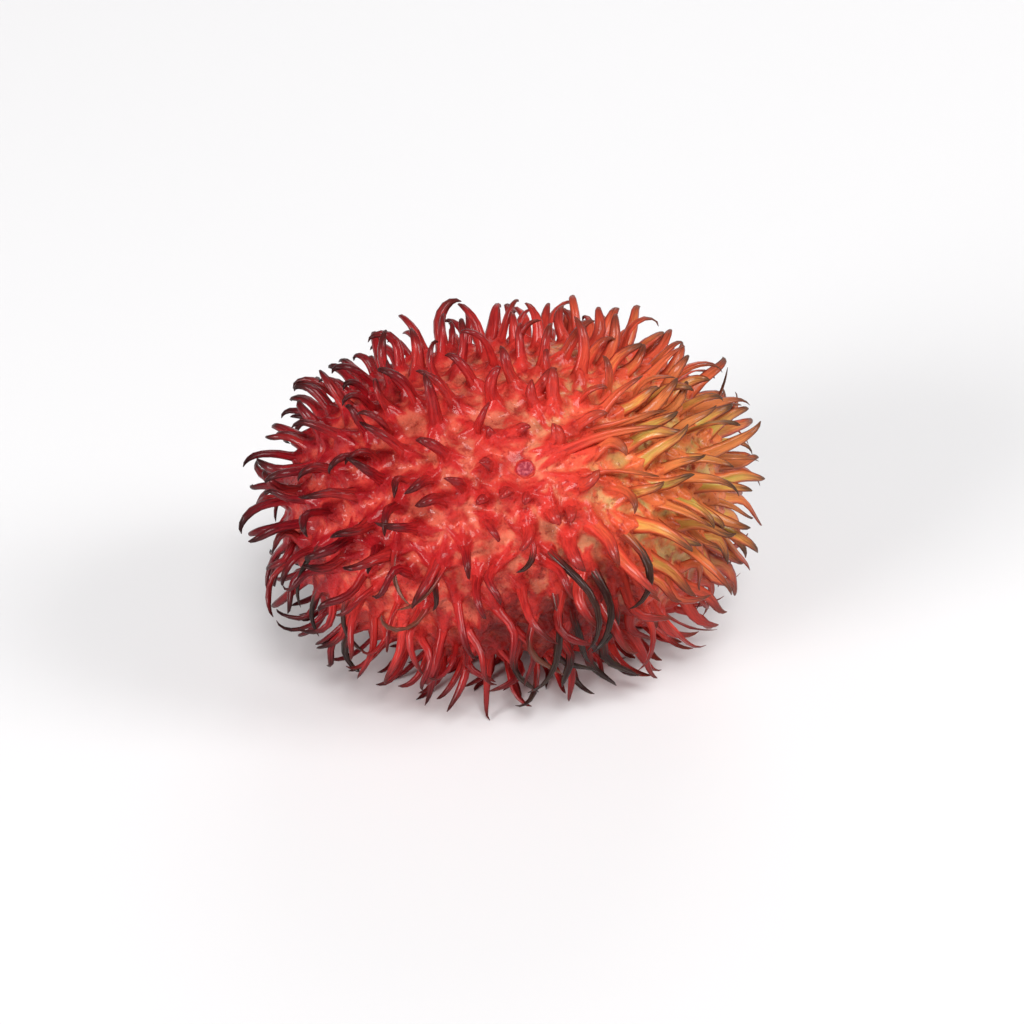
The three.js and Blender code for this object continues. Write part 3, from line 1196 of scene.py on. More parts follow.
@dataclass(frozen=True)
class SpineFinish(SkinFinish):
    """A spine: the rind's red at its root, streaked, darker outwards and dry at its tip."""

    # Streaks run along the strap and differ from spine to spine.
    STREAK_ACROSS = 2.0
    STREAK_ALONG = 2.0
    STREAK_EACH = 60.0
    STREAK_SCALE = 2.2
    UNEVEN_SPAN = (0.3, 0.7)
    UNEVEN = 0.12

    # Metres from the scar over which the dark ends set in: beside it, spines stay red.
    FADED_SPAN = (0.007, 0.016)
    FADED_LEAST = 0.12

    # How spines that share a colour differ, by their own shade from 0 to 1.
    LIGHT_SPAN = (0.45, 1.0)
    LIGHT_SHARE = 0.3
    MIDDLE_SHADES = (0.3, 0.7)
    MIDDLE_LEAST = 0.1
    OUTER_SHADES = (0.9, 0.55)
    BROWN_SHADES = (0.84, 0.9)

    # Where colours start and are full across the strap, from 0 in the middle to 1 at the edge.
    MIDDLE_SPAN = (0.8, 0.3)
    EDGE_SPAN = (0.7, 1.0)
    RUSSET_SPAN = (0.72, 0.98)
    CHANNEL_SPAN = (0.0, 0.55)

    # Where they start and are full along it, from 0 at the root to 1 at the tip.
    OUTER_SPAN = (0.15, 0.75)
    OUTER_BY_SCAR = 0.45
    EDGE_ALONG = (0.4, 0.85)
    EDGE_SHARE = 0.4

    # Where streaks of a colour start and are full.
    STREAK_SPAN = (0.42, 0.66)
    BLACK_SPAN = (0.44, 0.68)
    TIP_SPAN = (0.4, 0.7)

    # The dried end: how far before and past its start it browns and darkens.
    BROWNED_BEFORE = 0.34
    BROWNED_BY_SCAR = 0.5
    DARK_BEFORE = 0.12
    DARK_PAST = 0.14
    WITHERED_SPAN = (0.34, 0.46)
    DULL_TIP = 0.75
    DULL_WITHERED = 0.1

    # Shares of the colours where they're full.
    STREAK_SHARE = 0.5
    RUSSET_SHARE = 0.55
    BRUISE_SHARE = 0.6
    BROWNED_SHARE = 0.5
    BROWN_SHARE = 0.9
    TIP_SHARE = 0.3
    DARK_SHARE = 0.9

    # Relief: a shallow channel down each face, the streaks and fine speckle.
    CHANNEL_HEIGHT = 1.2
    SPECKLE_HEIGHT = 0.3

    LIGHT_RED = paint(210, 60, 50)
    EDGE = paint(84, 34, 36)
    RUSSET = paint(140, 56, 34)
    BRUISE = paint(150, 110, 110)
    BROWNED = paint(96, 26, 28)
    BLACK = paint(11, 11, 10)
    ASH = paint(54, 52, 42)
    BROWN = paint(112, 66, 50)
    DRY_TIP = paint(110, 56, 48)

    def make(self) -> bpy.types.Material:
        """The spines' material.

        Returns:
            The material.
        """
        material, nodes, shader = self.start()
        skin = self.tinted(nodes)
        spine = {name: nodes.attribute(name) for name in ("along", "shade", "lane", "dried")}
        spine["aside"] = nodes.maths("ABSOLUTE", spine["lane"])
        spine["streaks"] = self.streaks(nodes, spine)
        uneven = (-self.UNEVEN, self.UNEVEN)
        uneven = nodes.remap(spine["streaks"], *self.UNEVEN_SPAN, *uneven, smooth=False)
        spine["reach"] = nodes.plus(spine["along"], uneven)
        centre = nodes.distance(nodes.place(), Groups.SCAR_CENTRE)
        spine["faded"] = nodes.remap(centre, *self.FADED_SPAN, self.FADED_LEAST, 1.0)
        colour = self.edged(nodes, skin, spine, self.living(nodes, skin, spine))
        colour, dull = self.dried(nodes, skin, spine, colour)
        nodes.put(shader.inputs["Base Color"], colour)
        coat = nodes.times(nodes.minus(1.0, dull), self.coat)
        nodes.put(shader.inputs["Coat Weight"], coat)
        channel = nodes.times(nodes.remap(spine["aside"], *self.CHANNEL_SPAN), self.CHANNEL_HEIGHT)
        height = nodes.plus(channel, spine["streaks"])
        height = nodes.plus(height, nodes.times(skin["Speckle"], self.SPECKLE_HEIGHT))
        self.roughened(nodes, shader, skin["Speckle"], height)
        return material

    def streaks(self, nodes: Nodes, spine: dict[str, Socket]) -> Socket:
        """Streaks along each spine.

        Args:
            nodes: The material's nodes.
            spine: The spine's own values.

        Returns:
            The streaks, as values round 0.5.
        """
        across = nodes.times(spine["lane"], self.STREAK_ACROSS)
        along = nodes.times(spine["along"], self.STREAK_ALONG)
        each = nodes.times(spine["shade"], self.STREAK_EACH)
        place = nodes.add("ShaderNodeCombineXYZ", X=across, Y=along, Z=each).outputs[0]
        return nodes.noise(place, self.STREAK_SCALE, detail=3.0)[0]

    def living(self, nodes: Nodes, skin: dict[str, Socket], spine: dict[str, Socket]) -> Socket:
        """The fresh colour, from the rind's red at the root to a darker one outwards.

        Args:
            nodes: The material's nodes.
            skin: The skin's colours.
            spine: The spine's own values.

        Returns:
            The colour.
        """
        shade = spine["shade"]
        light = nodes.remap(shade, *self.LIGHT_SPAN, 0.0, self.LIGHT_SHARE)
        colour = nodes.blend(light, skin["Ridge"], self.LIGHT_RED)
        middle = nodes.remap(shade, *self.MIDDLE_SHADES, self.MIDDLE_LEAST, 1.0)
        middle = nodes.times(nodes.remap(spine["aside"], *self.MIDDLE_SPAN), middle)
        colour = nodes.blend(nodes.times(middle, skin["Unripe"]), colour, skin["Middle"])
        streaked = nodes.remap(spine["streaks"], *self.STREAK_SPAN, 0.0, self.STREAK_SHARE)
        colour = nodes.blend(streaked, colour, skin["Outer"])
        outer = nodes.remap(shade, 0.0, 1.0, *self.OUTER_SHADES)
        outer = nodes.remap(spine["reach"], *self.OUTER_SPAN, 0.0, outer)
        outer = nodes.times(outer, nodes.remap(spine["faded"], 0.0, 1.0, self.OUTER_BY_SCAR, 1.0))
        return nodes.blend(outer, colour, skin["Outer"])

    def edged(
        self, nodes: Nodes, skin: dict[str, Socket], spine: dict[str, Socket], colour: Socket
    ) -> Socket:
        """Adds thin greyish edges, russet ones on unripe spines, and the bruise.

        Args:
            nodes: The material's nodes.
            skin: The skin's colours.
            spine: The spine's own values.
            colour: The fresh colour.

        Returns:
            The colour.
        """
        edge = nodes.remap(spine["along"], *self.EDGE_ALONG, 0.0, self.EDGE_SHARE)
        edge = nodes.times(nodes.remap(spine["aside"], *self.EDGE_SPAN), edge)
        colour = nodes.blend(edge, colour, self.EDGE)
        russet = nodes.times(nodes.remap(spine["aside"], *self.RUSSET_SPAN), skin["Unripe"])
        colour = nodes.blend(nodes.times(russet, self.RUSSET_SHARE), colour, self.RUSSET)
        return nodes.stained(nodes.times(skin["Bruise"], self.BRUISE_SHARE), colour, self.BRUISE)

    def dried(
        self, nodes: Nodes, skin: dict[str, Socket], spine: dict[str, Socket], colour: Socket
    ) -> tuple[Socket, Socket]:
        """Adds the dried end, which starts where the spine's own share says.

        Args:
            nodes: The material's nodes.
            skin: The skin's colours.
            spine: The spine's own values.
            colour: The colour before drying.

        Returns:
            The colour, and how much of the skin's gloss is lost.
        """
        streaks, reach, faded = spine["streaks"], spine["reach"], spine["faded"]
        start = nodes.minus(1.0, spine["dried"])
        browned = nodes.remap(reach, nodes.minus(start, self.BROWNED_BEFORE), start)
        kept = nodes.remap(faded, 0.0, 1.0, self.BROWNED_BY_SCAR, 1.0)
        browned = nodes.times(nodes.times(browned, kept), self.BROWNED_SHARE)
        colour = nodes.blend(browned, colour, self.BROWNED)
        before, past = nodes.minus(start, self.DARK_BEFORE), nodes.plus(start, self.DARK_PAST)
        dark = nodes.remap(reach, before, past)
        black = nodes.blend(nodes.remap(streaks, *self.BLACK_SPAN), self.BLACK, self.ASH)
        brown = nodes.remap(spine["shade"], *self.BROWN_SHADES, 0.0, self.BROWN_SHARE)
        black = nodes.blend(brown, black, self.BROWN)
        dry = nodes.remap(streaks, *self.TIP_SPAN, 0.0, self.TIP_SHARE)
        tip = nodes.blend(dry, skin["Tip"], self.DRY_TIP)
        withered = nodes.remap(spine["dried"], *self.WITHERED_SPAN)
        dark = nodes.times(dark, nodes.maths("MAXIMUM", faded, withered))
        ended = nodes.blend(withered, tip, black)
        colour = nodes.blend(nodes.times(dark, self.DARK_SHARE), colour, ended)
        dull = nodes.remap(withered, 0.0, 1.0, self.DULL_TIP, self.DULL_WITHERED)
        return colour, nodes.times(dark, dull)


@dataclass(frozen=True)
class ScarFinish(SkinFinish):
    """The scar of a spine that broke off: a pink, corky middle inside a dark rim."""

    GRAIN_SCALE = 2600.0
    GRAIN_SPAN = (0.4, 0.66)
    RIM_GRAIN_SPAN = (0.35, 0.65)
    SKIN_SPAN = (0.4, 0.6)

    # Distances from the middle, as shares of the scar's outer radius.
    RIM_INSIDE = (0.5, 0.57)
    RIM_OUTSIDE = (0.67, 0.61)
    CORK_SPAN = (0.56, 0.48)
    RIM_SHARES = (0.75, 0.3)

    DARK_CORK = paint(140, 42, 56)
    PALE_CORK = paint(186, 88, 94)
    RIM = paint(104, 18, 34)

    def make(self) -> bpy.types.Material:
        """The scar's material.

        Returns:
            The material.
        """
        material, nodes, shader = self.start()
        skin = self.tinted(nodes)
        ring = nodes.attribute("ring")
        grain = nodes.noise(nodes.place(), self.GRAIN_SCALE, detail=2.0)[0]
        cork = nodes.blend(nodes.remap(grain, *self.GRAIN_SPAN), self.DARK_CORK, self.PALE_CORK)
        mottled = nodes.remap(skin["Speckle"], *self.SKIN_SPAN)
        around = nodes.blend(mottled, skin["Ridge"], skin["Hollow"])
        colour = nodes.blend(nodes.remap(ring, *self.CORK_SPAN), around, cork)
        rim = nodes.remap(ring, *self.RIM_OUTSIDE)
        rim = nodes.times(nodes.remap(ring, *self.RIM_INSIDE), rim)
        rim = nodes.times(rim, nodes.remap(grain, *self.RIM_GRAIN_SPAN, *self.RIM_SHARES))
        nodes.put(shader.inputs["Base Color"], nodes.blend(rim, colour, self.RIM))
        self.roughened(nodes, shader, skin["Speckle"], skin["Speckle"])
        return material


def mesh_object(
    name: str,
    points: np.ndarray,
    faces: list[list[int]],
    edges: list[tuple[int, int]] | None = None,
) -> bpy.types.Object:
    """A new object in the scene, from points in metres.

    Args:
        name: Its name.
        points: Its points, one to a row.
        faces: Its faces, as lists of point numbers.
        edges: Its loose edges, for a guide that has no faces.

    Returns:
        The object.
    """
    mesh = bpy.data.meshes.new(name)
    mesh.from_pydata([tuple(p) for p in points], edges or [], faces)
    mesh.update()
    return linked(name, mesh)


def linked(name: str, data: bpy.types.ID) -> bpy.types.Object:
    """A new object in the scene, from a mesh, a light or a camera.

    Args:
        name: Its name.
        data: What it shows.

    Returns:
        The object.
    """
    made = bpy.data.objects.new(name, data)
    bpy.context.scene.collection.objects.link(made)
    return made


def store(mesh: bpy.types.Mesh, name: str, values: np.ndarray, vector: bool = False) -> None:
    """Stores one value, or one direction, for each point of a mesh.

    Args:
        mesh: The mesh.
        name: The attribute's name.
        values: One value or row for each point.
        vector: True for directions.
    """
    kind, field = ("FLOAT_VECTOR", "vector") if vector else ("FLOAT", "value")
    layer = mesh.attributes.new(name, kind, "POINT")
    layer.data.foreach_set(field, np.ascontiguousarray(values, dtype=np.float32).ravel())


class NearPoints:
    """Finds the points near a place, by the cells of a coarse grid."""

    CELL = 2.0

    def __init__(self, points: np.ndarray) -> None:
        """Sorts points into cells.

        Args:
            points: The points, one to a row.
        """
        self.points = points
        keys = np.floor(points / self.CELL).astype(int)
        order = np.lexsort(keys.T)
        cuts = np.nonzero(np.any(np.diff(keys[order], axis=0), axis=1))[0] + 1
        runs = np.split(order, cuts)
        self.cells = {tuple(keys[run[0]]): run for run in runs}

    def find(self, place: np.ndarray, radius: float) -> np.ndarray:
        """The points within a distance of a place.

        Args:
            place: The place.
            radius: The distance.

        Returns:
            The points' numbers.
        """
        low = np.floor((place - radius) / self.CELL).astype(int)
        high = np.floor((place + radius) / self.CELL).astype(int)
        found = [
            self.cells[key]
            for x in range(low[0], high[0] + 1)
            for y in range(low[1], high[1] + 1)
            for z in range(low[2], high[2] + 1)
            if (key := (x, y, z)) in self.cells
        ]
        if not found:
            return np.zeros(0, dtype=int)
        near = np.concatenate(found)
        return near[((self.points[near] - place) ** 2).sum(1) < radius * radius]


def across(vectors: np.ndarray, normal: np.ndarray) -> np.ndarray:
    """The parts of vectors, one to a row, that run across a direction."""
    return vectors - (vectors @ normal)[:, None] * normal


def crested(distance: np.ndarray, width: np.ndarray | float) -> np.ndarray:
    """A fold's section: 1 on its crest, falling off smoothly over its width."""
    return np.exp(-((distance / width) ** 2))


@dataclass
class Rind:
    """The rind: a fine skin drawn up into a cone at each spine, with ridges from cone to cone."""

    growth: Growth
    finish: RindFinish
    fineness: int = 96
    # The cones, in millimetres.
    cone_height: float = 1.4
    cone_radius: float = 0.95
    cone_power: float = 1.6
    cone_ahead: float = 1.2
    cone_reach: float = 3.4
    cone_even: float = 0.55
    cone_most: float = 1.15
    cone_trace: float = 1e-9
    join: float = 3.0
    # The folds behind each spine; a stout spine has two, splayed.
    buttress_seed: int = 977
    buttress_length: float = 4.2
    buttress_upright: float = 0.45
    buttress_least: float = 0.7
    buttress_spread: float = 0.6
    buttress_splay: float = 0.34
    buttress_jitter: float = 0.2
    buttress_bow: float = 0.5
    buttress_width: float = 0.42
    buttress_root: float = 1.25
    buttress_narrowing: float = 0.5
    buttress_height: float = 0.8
    buttress_power: float = 0.7
    buttress_margin: float = 1.5
    stout: float = 0.8
    # The ridges between roots.
    ridge_seed: int = 4242
    ridge_reach: float = 4.2
    ridge_share: float = 0.5
    ridge_least: float = 0.55
    ridge_bow: float = 0.7
    ridge_height: float = 0.5
    ridge_width: float = 0.4
    ridge_middle: float = 0.5
    ridge_power: float = 1.5
    ridge_span: float = 0.62
    ridge_margin: float = 1.0
    flatter_on_cones: float = 0.6
    # Slow swells and fine wrinkles: their heights, and how many to a millimetre.
    swell: float = 0.35
    swell_scale: float = 0.3
    wrinkle: float = 0.14
    wrinkle_scale: float = 1.1
    wrinkle_layers: tuple[float, float, int] = (0.8, 2.1, 3)
    near: NearPoints | None = None

    def build(self) -> bpy.types.Object:
        """Builds the rind.

        Returns:
            The finished piece.
        """
        ball = bmesh.new()
        bmesh.ops.create_icosphere(ball, subdivisions=1, radius=1.0)
        cuts = self.fineness - 1
        bmesh.ops.subdivide_edges(ball, edges=ball.edges, cuts=cuts, use_grid_fill=True)
        sphere = np.array([v.co[:] for v in ball.verts])
        faces = [[v.index for v in f.verts] for f in ball.faces]
        ball.free()
        form = self.growth.form
        sphere /= np.linalg.norm(sphere, axis=1, keepdims=True)
        base = form.stretched(sphere)
        self.near = NearPoints(base)
        pull, raised = self.cones(base)
        ridges = np.maximum(self.ridges(base), self.buttresses(base))
        height = ridges * (1 - self.flatter_on_cones * raised) + self.relief(base)
        points = base + pull + form.normals(base) * height[:, None]
        piece = mesh_object("rind", form.placed(points), faces)
        raised = np.clip(np.maximum(raised, ridges / self.buttress_height), 0, 1)
        store(piece.data, "raised", raised)
        piece.data.shade_smooth()
        piece.data.materials.append(self.finish.make())
        return piece

    def cones(self, base: np.ndarray) -> tuple[np.ndarray, np.ndarray]:
        """How the skin is drawn up round each spine's root.

        Args:
            base: Points of the smooth rind.

        Returns:
            The move of each point, and how far up its cone it is, from 0 to 1.
        """
        total = np.zeros(len(base))
        way = np.zeros_like(base)
        for line in self.growth.lines:
            near = self.near.find(line.points[0], self.cone_reach * self.cone_radius)
            flat = across(base[near] - line.points[0], line.normal)
            ahead = flat @ line.forward
            spread = np.where(ahead > 0, self.cone_ahead, 1.0)
            square = (flat**2).sum(1) - ahead**2 + (ahead / spread) ** 2
            distance = np.sqrt(np.maximum(0, square))
            radius = self.cone_radius * (self.cone_even + (1 - self.cone_even) * line.girth)
            height = np.exp(-((distance / radius) ** self.cone_power)) ** self.join
            total[near] += height
            way[near] += height[:, None] * line.start
        raised = total ** (1 / self.join)
        lift = self.cone_height * np.minimum(raised, self.cone_most)
        way /= np.maximum(total, self.cone_trace)[:, None]
        return way * lift[:, None], np.minimum(raised, 1.0)

    def buttresses(self, base: np.ndarray) -> np.ndarray:
        """Height of the long folds that run up into each spine from behind it.

        Args:
            base: Points of the smooth rind.

        Returns:
            A height for each point, in millimetres.
        """
        draws = Draws(self.buttress_seed)
        height = np.zeros(len(base))
        for line in self.growth.lines:
            lean = math.acos(held(float(line.start @ line.normal), -1.0, 1.0))
            longer = self.buttress_upright + (1 - self.buttress_upright) * min(1.0, lean)
            for lane in (-1, 1) if line.girth > self.stout else (0,):
                spread = self.buttress_least + self.buttress_spread * draws.draw()
                length = self.buttress_length * longer * spread
                splay = self.buttress_splay * lane + self.buttress_jitter * draws.centred()
                bow = self.buttress_bow * draws.centred()
                sideways = np.cross(line.normal, line.forward)
                back = -line.forward * math.cos(splay) + sideways * math.sin(splay)
                aside = np.cross(line.normal, back)
                near = self.near.find(line.points[0], length + self.buttress_margin)
                reach = base[near] - line.points[0]
                part = np.clip((reach @ back) / length, 0, 1)
                off = reach - part[:, None] * length * back
                off = off - (bow * np.sin(np.pi * part))[:, None] * aside
                distance = np.linalg.norm(across(off, line.normal), axis=1)
                width = self.buttress_width * (self.buttress_root - self.buttress_narrowing * part)
                crest = self.buttress_height * (1 - part) ** self.buttress_power
                height[near] = np.maximum(height[near], crest * crested(distance, width))
        return height

    def ridges(self, base: np.ndarray) -> np.ndarray:
        """Height of the low ridges that run from root to root.

        Args:
            base: Points of the smooth rind.

        Returns:
            A height for each point, in millimetres.
        """
        roots = np.array([line.points[0] for line in self.growth.lines])
        draws = Draws(self.ridge_seed)
        height = np.zeros(len(base))
        for i, first in enumerate(roots):
            gaps = np.linalg.norm(roots - first, axis=1)
            for j in np.nonzero((gaps > 0) & (gaps < self.ridge_reach))[0]:
                if j < i:
                    continue
                chance = draws.draw()
                strength = self.ridge_least + (1 - self.ridge_least) * draws.draw()
                bow = self.ridge_bow * draws.centred()
                if chance > self.ridge_share:
                    continue
                run = roots[j] - first
                sideways = unit(np.cross(run, first))
                middle = (first + roots[j]) / 2
                near = self.near.find(middle, self.ridge_span * gaps[j] + self.ridge_margin)
                part = np.clip(((base[near] - first) @ run) / float(run @ run), 0, 1)
                bowed = (bow * np.sin(np.pi * part))[:, None] * sideways
                off = across(base[near] - (first + part[:, None] * run + bowed), unit(middle))
                distance = np.linalg.norm(off, axis=1)
                ends = np.abs(2 * part - 1) ** self.ridge_power
                crest = self.ridge_middle + (1 - self.ridge_middle) * ends
                crest = self.ridge_height * strength * crest
                height[near] = np.maximum(height[near], crest * crested(distance, self.ridge_width))
        return height

    def relief(self, base: np.ndarray) -> np.ndarray:
        """Slow swells and fine wrinkles over the skin.

        Args:
            base: Points of the smooth rind.

        Returns:
            A height for each point, in millimetres.
        """
        swells = [noise.noise(Vector(p) * self.swell_scale) for p in base]
        layers = self.wrinkle_layers
        wrinkles = [noise.fractal(Vector(p) * self.wrinkle_scale, *layers) for p in base]
        return self.swell * np.array(swells) + self.wrinkle * np.array(wrinkles)


@dataclass
class Spines:
    """The spines: flattened, tapering straps swept along their guides by one geometry tree."""

    growth: Growth
    finish: SpineFinish
    sides: int = 6
    stations: tuple[float, ...] = (0.0, 0.1, 0.22, 0.36, 0.5, 0.63, 0.75, 0.85, 0.93, 1.0)
    tip_width: float = 0.1
    shaft_width: float = 1.0
    shaft_power: float = 0.78
    flare_width: float = 0.55
    flare_reach: float = 0.18
    thickness: float = 0.6
    unevenness: float = 0.22
    lump_scale: float = 620.0
    twist: float = math.radians(80)
    flat_twist: float = 0.5
    root_depth: float = 1.0
    seed: int = 5

    def build(self) -> bpy.types.Object:
        """Builds the spines.

        Returns:
            The finished piece.
        """
        values = {
            "Sides": self.sides,
            "Thickness": self.thickness,
            "Unevenness": self.unevenness,
            "Lump Scale": self.lump_scale,
            "Seed": self.seed,
            "Finish": self.finish.make(),
        }
        piece = grown(self.guides(), self.tree(), values, "spines")
        self.keep_above_floor(piece)
        return piece

    def width(self, along: float, taper: float) -> float:
        """A spine's full width in millimetres.

        Args:
            along: The share of its length.
            taper: How late it narrows: the higher, the blunter its tip.

        Returns:
            The width.
        """
        flare = self.flare_width * math.exp(-((along / self.flare_reach) ** 2))
        return self.tip_width + self.shaft_width * (1 - along**taper) ** self.shaft_power + flare

    @staticmethod
    def smooth(points: np.ndarray, share: float) -> np.ndarray:
        """A point of the smooth curve through a line's points.

        Args:
            points: The line's points, evenly spaced.
            share: How far along the line, from 0 to 1.

        Returns:
            The point.
        """
        last = len(points) - 1
        k = min(int(share * last), last - 1)
        t = share * last - k
        before, after = points[max(k - 1, 0)], points[min(k + 2, last)]
        first, second = points[k], points[k + 1]
        return 0.5 * (
            2 * first
            + (second - before) * t
            + (2 * before - 5 * first + 4 * second - after) * t**2
            + (3 * first - before - 3 * second + after) * t**3
        )

    def guides(self) -> bpy.types.Object:
        """The spines' centrelines as chains of edges, with what each point needs.

        Returns:
            The guide object.
        """
        points, edges = [], []
        values: dict[str, list] = {
            name: [] for name in ("along", "half_width", "shade", "dried", "flatness")
        }
        directions: dict[str, list] = {"across": [], "face": []}
        for line in self.growth.lines:
            chain = [line.points[0] - self.root_depth * line.start]
            chain += [self.smooth(line.points, share) for share in self.stations]
            headings = np.gradient(np.array(chain), axis=0)
            flat = 1 if line.flatness > 1 else self.flat_twist
            turn = self.twist * (2 * line.shade - 1) * flat
            first = len(points)
            for place, share, heading in zip(chain, (0.0, *self.stations), headings):
                ahead = unit(heading)
                side = unit(line.side - ahead * float(line.side @ ahead))
                angle = turn * share
                side = side * math.cos(angle) + np.cross(ahead, side) * math.sin(angle)
                points.append(place)
                values["along"].append(share)
                half_width = self.width(share, line.taper) * line.girth / 2
                values["half_width"].append(half_width * MM)
                values["shade"].append(line.shade)
                values["dried"].append(line.dried)
                values["flatness"].append(line.flatness)
                directions["across"].append(side)
                directions["face"].append(np.cross(ahead, side))
            edges += [(first + k, first + k + 1) for k in range(len(chain) - 1)]
        placed = self.growth.form.placed(np.array(points))
        guide = mesh_object("spine_guides", placed, [], edges)
        for facts, vector in ((values, False), (directions, True)):
            for name, column in facts.items():
                store(guide.data, name, np.array(column), vector)
        return guide

    def tree(self) -> bpy.types.NodeTree:
        """The geometry tree that sweeps a strap along every guide.

        Returns:
            The tree.
        """
        tree = bpy.data.node_groups.new("spines_on_guides", "GeometryNodeTree")
        sockets = {
            "Geometry": "Geometry",
            "Sides": "Int",
            "Thickness": "Float",
            "Unevenness": "Float",
            "Lump Scale": "Float",
            "Seed": "Int",
            "Finish": "Material",
        }
        for name, kind in sockets.items():
            tree.interface.new_socket(name, in_out="INPUT", socket_type=f"NodeSocket{kind}")
        tree.interface.new_socket("Geometry", in_out="OUTPUT", socket_type="NodeSocketGeometry")
        nodes = Nodes(tree)
        given = nodes.add("NodeGroupInput").outputs
        curves = nodes.add("GeometryNodeMeshToCurve", Mesh=given["Geometry"]).outputs[0]
        across_strap = nodes.named("across", "FLOAT_VECTOR")
        settings = {"mode": "FREE"}
        curves = nodes.add(
            "GeometryNodeSetCurveNormal", settings, Curve=curves, Normal=across_strap
        ).outputs[0]
        swept = {"Scale": nodes.named("half_width"), "Fill_Caps": True}
        profile = self.profile(nodes, given)
        strap = nodes.add(
            "GeometryNodeCurveToMesh", Curve=curves, Profile_Curve=profile, **swept
        ).outputs[0]
        strap = self.uneven(nodes, given, self.flattened(nodes, given, strap))
        strap = nodes.add("GeometryNodeSetShadeSmooth", Geometry=strap).outputs[0]
        strap = nodes.add("GeometryNodeRealizeInstances", Geometry=strap).outputs[0]
        finish = {"Geometry": strap, "Material": given["Finish"]}
        strap = nodes.add("GeometryNodeSetMaterial", **finish).outputs[0]
        nodes.add("NodeGroupOutput", Geometry=strap)
        return tree

    def profile(self, nodes: Nodes, given: bpy.types.NodeOutputs) -> Socket:
        """A strap's section: a flattened round, which keeps where on it each point is.

        Args:
            nodes: The tree's nodes.
            given: The tree's inputs.

        Returns:
            The section's curve, with how far across it each point is as "lane", and how far
            towards its face as "lift".
        """
        settings = {"mode": "RADIUS"}
        circle = {"Resolution": given["Sides"], "Radius": 1.0}
        ring = nodes.add("GeometryNodeCurvePrimitiveCircle", settings, **circle).outputs[0]
        place = nodes.add("GeometryNodeInputPosition").outputs[0]
        lane, lift, _ = nodes.add("ShaderNodeSeparateXYZ", i0=place).outputs
        settings = {"data_type": "FLOAT", "domain": "POINT"}
        for name, value in (("lane", lane), ("lift", lift)):
            kept = {"Geometry": ring, "Name": name, "Value": value}
            ring = nodes.add("GeometryNodeStoreNamedAttribute", settings, **kept).outputs[0]
        height = nodes.times(lift, given["Thickness"])
        moved = nodes.add("ShaderNodeCombineXYZ", X=lane, Y=height, Z=0.0).outputs[0]
        return nodes.add("GeometryNodeSetPosition", Geometry=ring, Position=moved).outputs[0]

    @staticmethod
    def flattened(nodes: Nodes, given: bpy.types.NodeOutputs, strap: Socket) -> Socket:
        """Makes each strap as flat as its own "flatness" says.

        Args:
            nodes: The tree's nodes.
            given: The tree's inputs.
            strap: The straps.

        Returns:
            The straps, thinned or thickened.
        """
        reach = nodes.times(nodes.named("half_width"), given["Thickness"])
        reach = nodes.times(reach, nodes.named("lift"))
        amount = nodes.times(reach, nodes.minus(nodes.named("flatness"), 1.0))
        return nodes.moved(strap, nodes.named("face", "FLOAT_VECTOR"), amount)

    @staticmethod
    def uneven(nodes: Nodes, given: bpy.types.NodeOutputs, strap: Socket) -> Socket:
        """Swells and pinches the straps a little, as grown things are.

        Args:
            nodes: The tree's nodes.
            given: The tree's inputs.
            strap: The straps.

        Returns:
            The uneven straps.
        """
        place = nodes.add("GeometryNodeInputPosition").outputs[0]
        settings = {"noise_dimensions": "4D"}
        sizes = {"Scale": given["Lump Scale"], "Detail": 2.0, "W": given["Seed"]}
        lumps = nodes.add("ShaderNodeTexNoise", settings, Vector=place, **sizes).outputs[0]
        swell = nodes.times(nodes.minus(lumps, 0.5), given["Unevenness"])
        amount = nodes.times(nodes.times(swell, 2.0), nodes.named("half_width"))
        return nodes.moved(strap, nodes.add("GeometryNodeInputNormal").outputs[0], amount)

    @staticmethod
    def keep_above_floor(piece: bpy.types.Object) -> None:
        """Presses the lowest spines flat where they lie on the surface.

        Args:
            piece: The spines.
        """
        mesh = piece.data
        places = np.zeros(len(mesh.vertices) * 3, dtype=np.float32)
        mesh.vertices.foreach_get("co", places)
        places[2::3] = np.maximum(places[2::3], 0.0)
        mesh.vertices.foreach_set("co", places)
        mesh.update()


def grown(
    guide: bpy.types.Object, tree: bpy.types.NodeTree, values: dict[str, object], name: str
) -> bpy.types.Object:
    """Runs a geometry tree on a guide and keeps the result as a plain mesh.

    Args:
        guide: The object that the tree runs on, which is removed afterwards.
        tree: The geometry tree.
        values: The tree's inputs, by name.
        name: The finished piece's name.

    Returns:
        The finished piece.
    """
    modifier = guide.modifiers.new("growth", "NODES")
    modifier.node_group = tree
    for item in tree.interface.items_tree:
        if item.item_type == "SOCKET" and item.in_out == "INPUT" and item.name in values:
            modifier[item.identifier] = values[item.name]
    graph = bpy.context.evaluated_depsgraph_get()
    finished = guide.evaluated_get(graph)
    mesh = bpy.data.meshes.new_from_object(
        finished, preserve_all_data_layers=True, depsgraph=graph
    )
    guide.modifiers.clear()
    bpy.data.objects.remove(guide, do_unlink=True)
    mesh.name = name
    return linked(name, mesh)


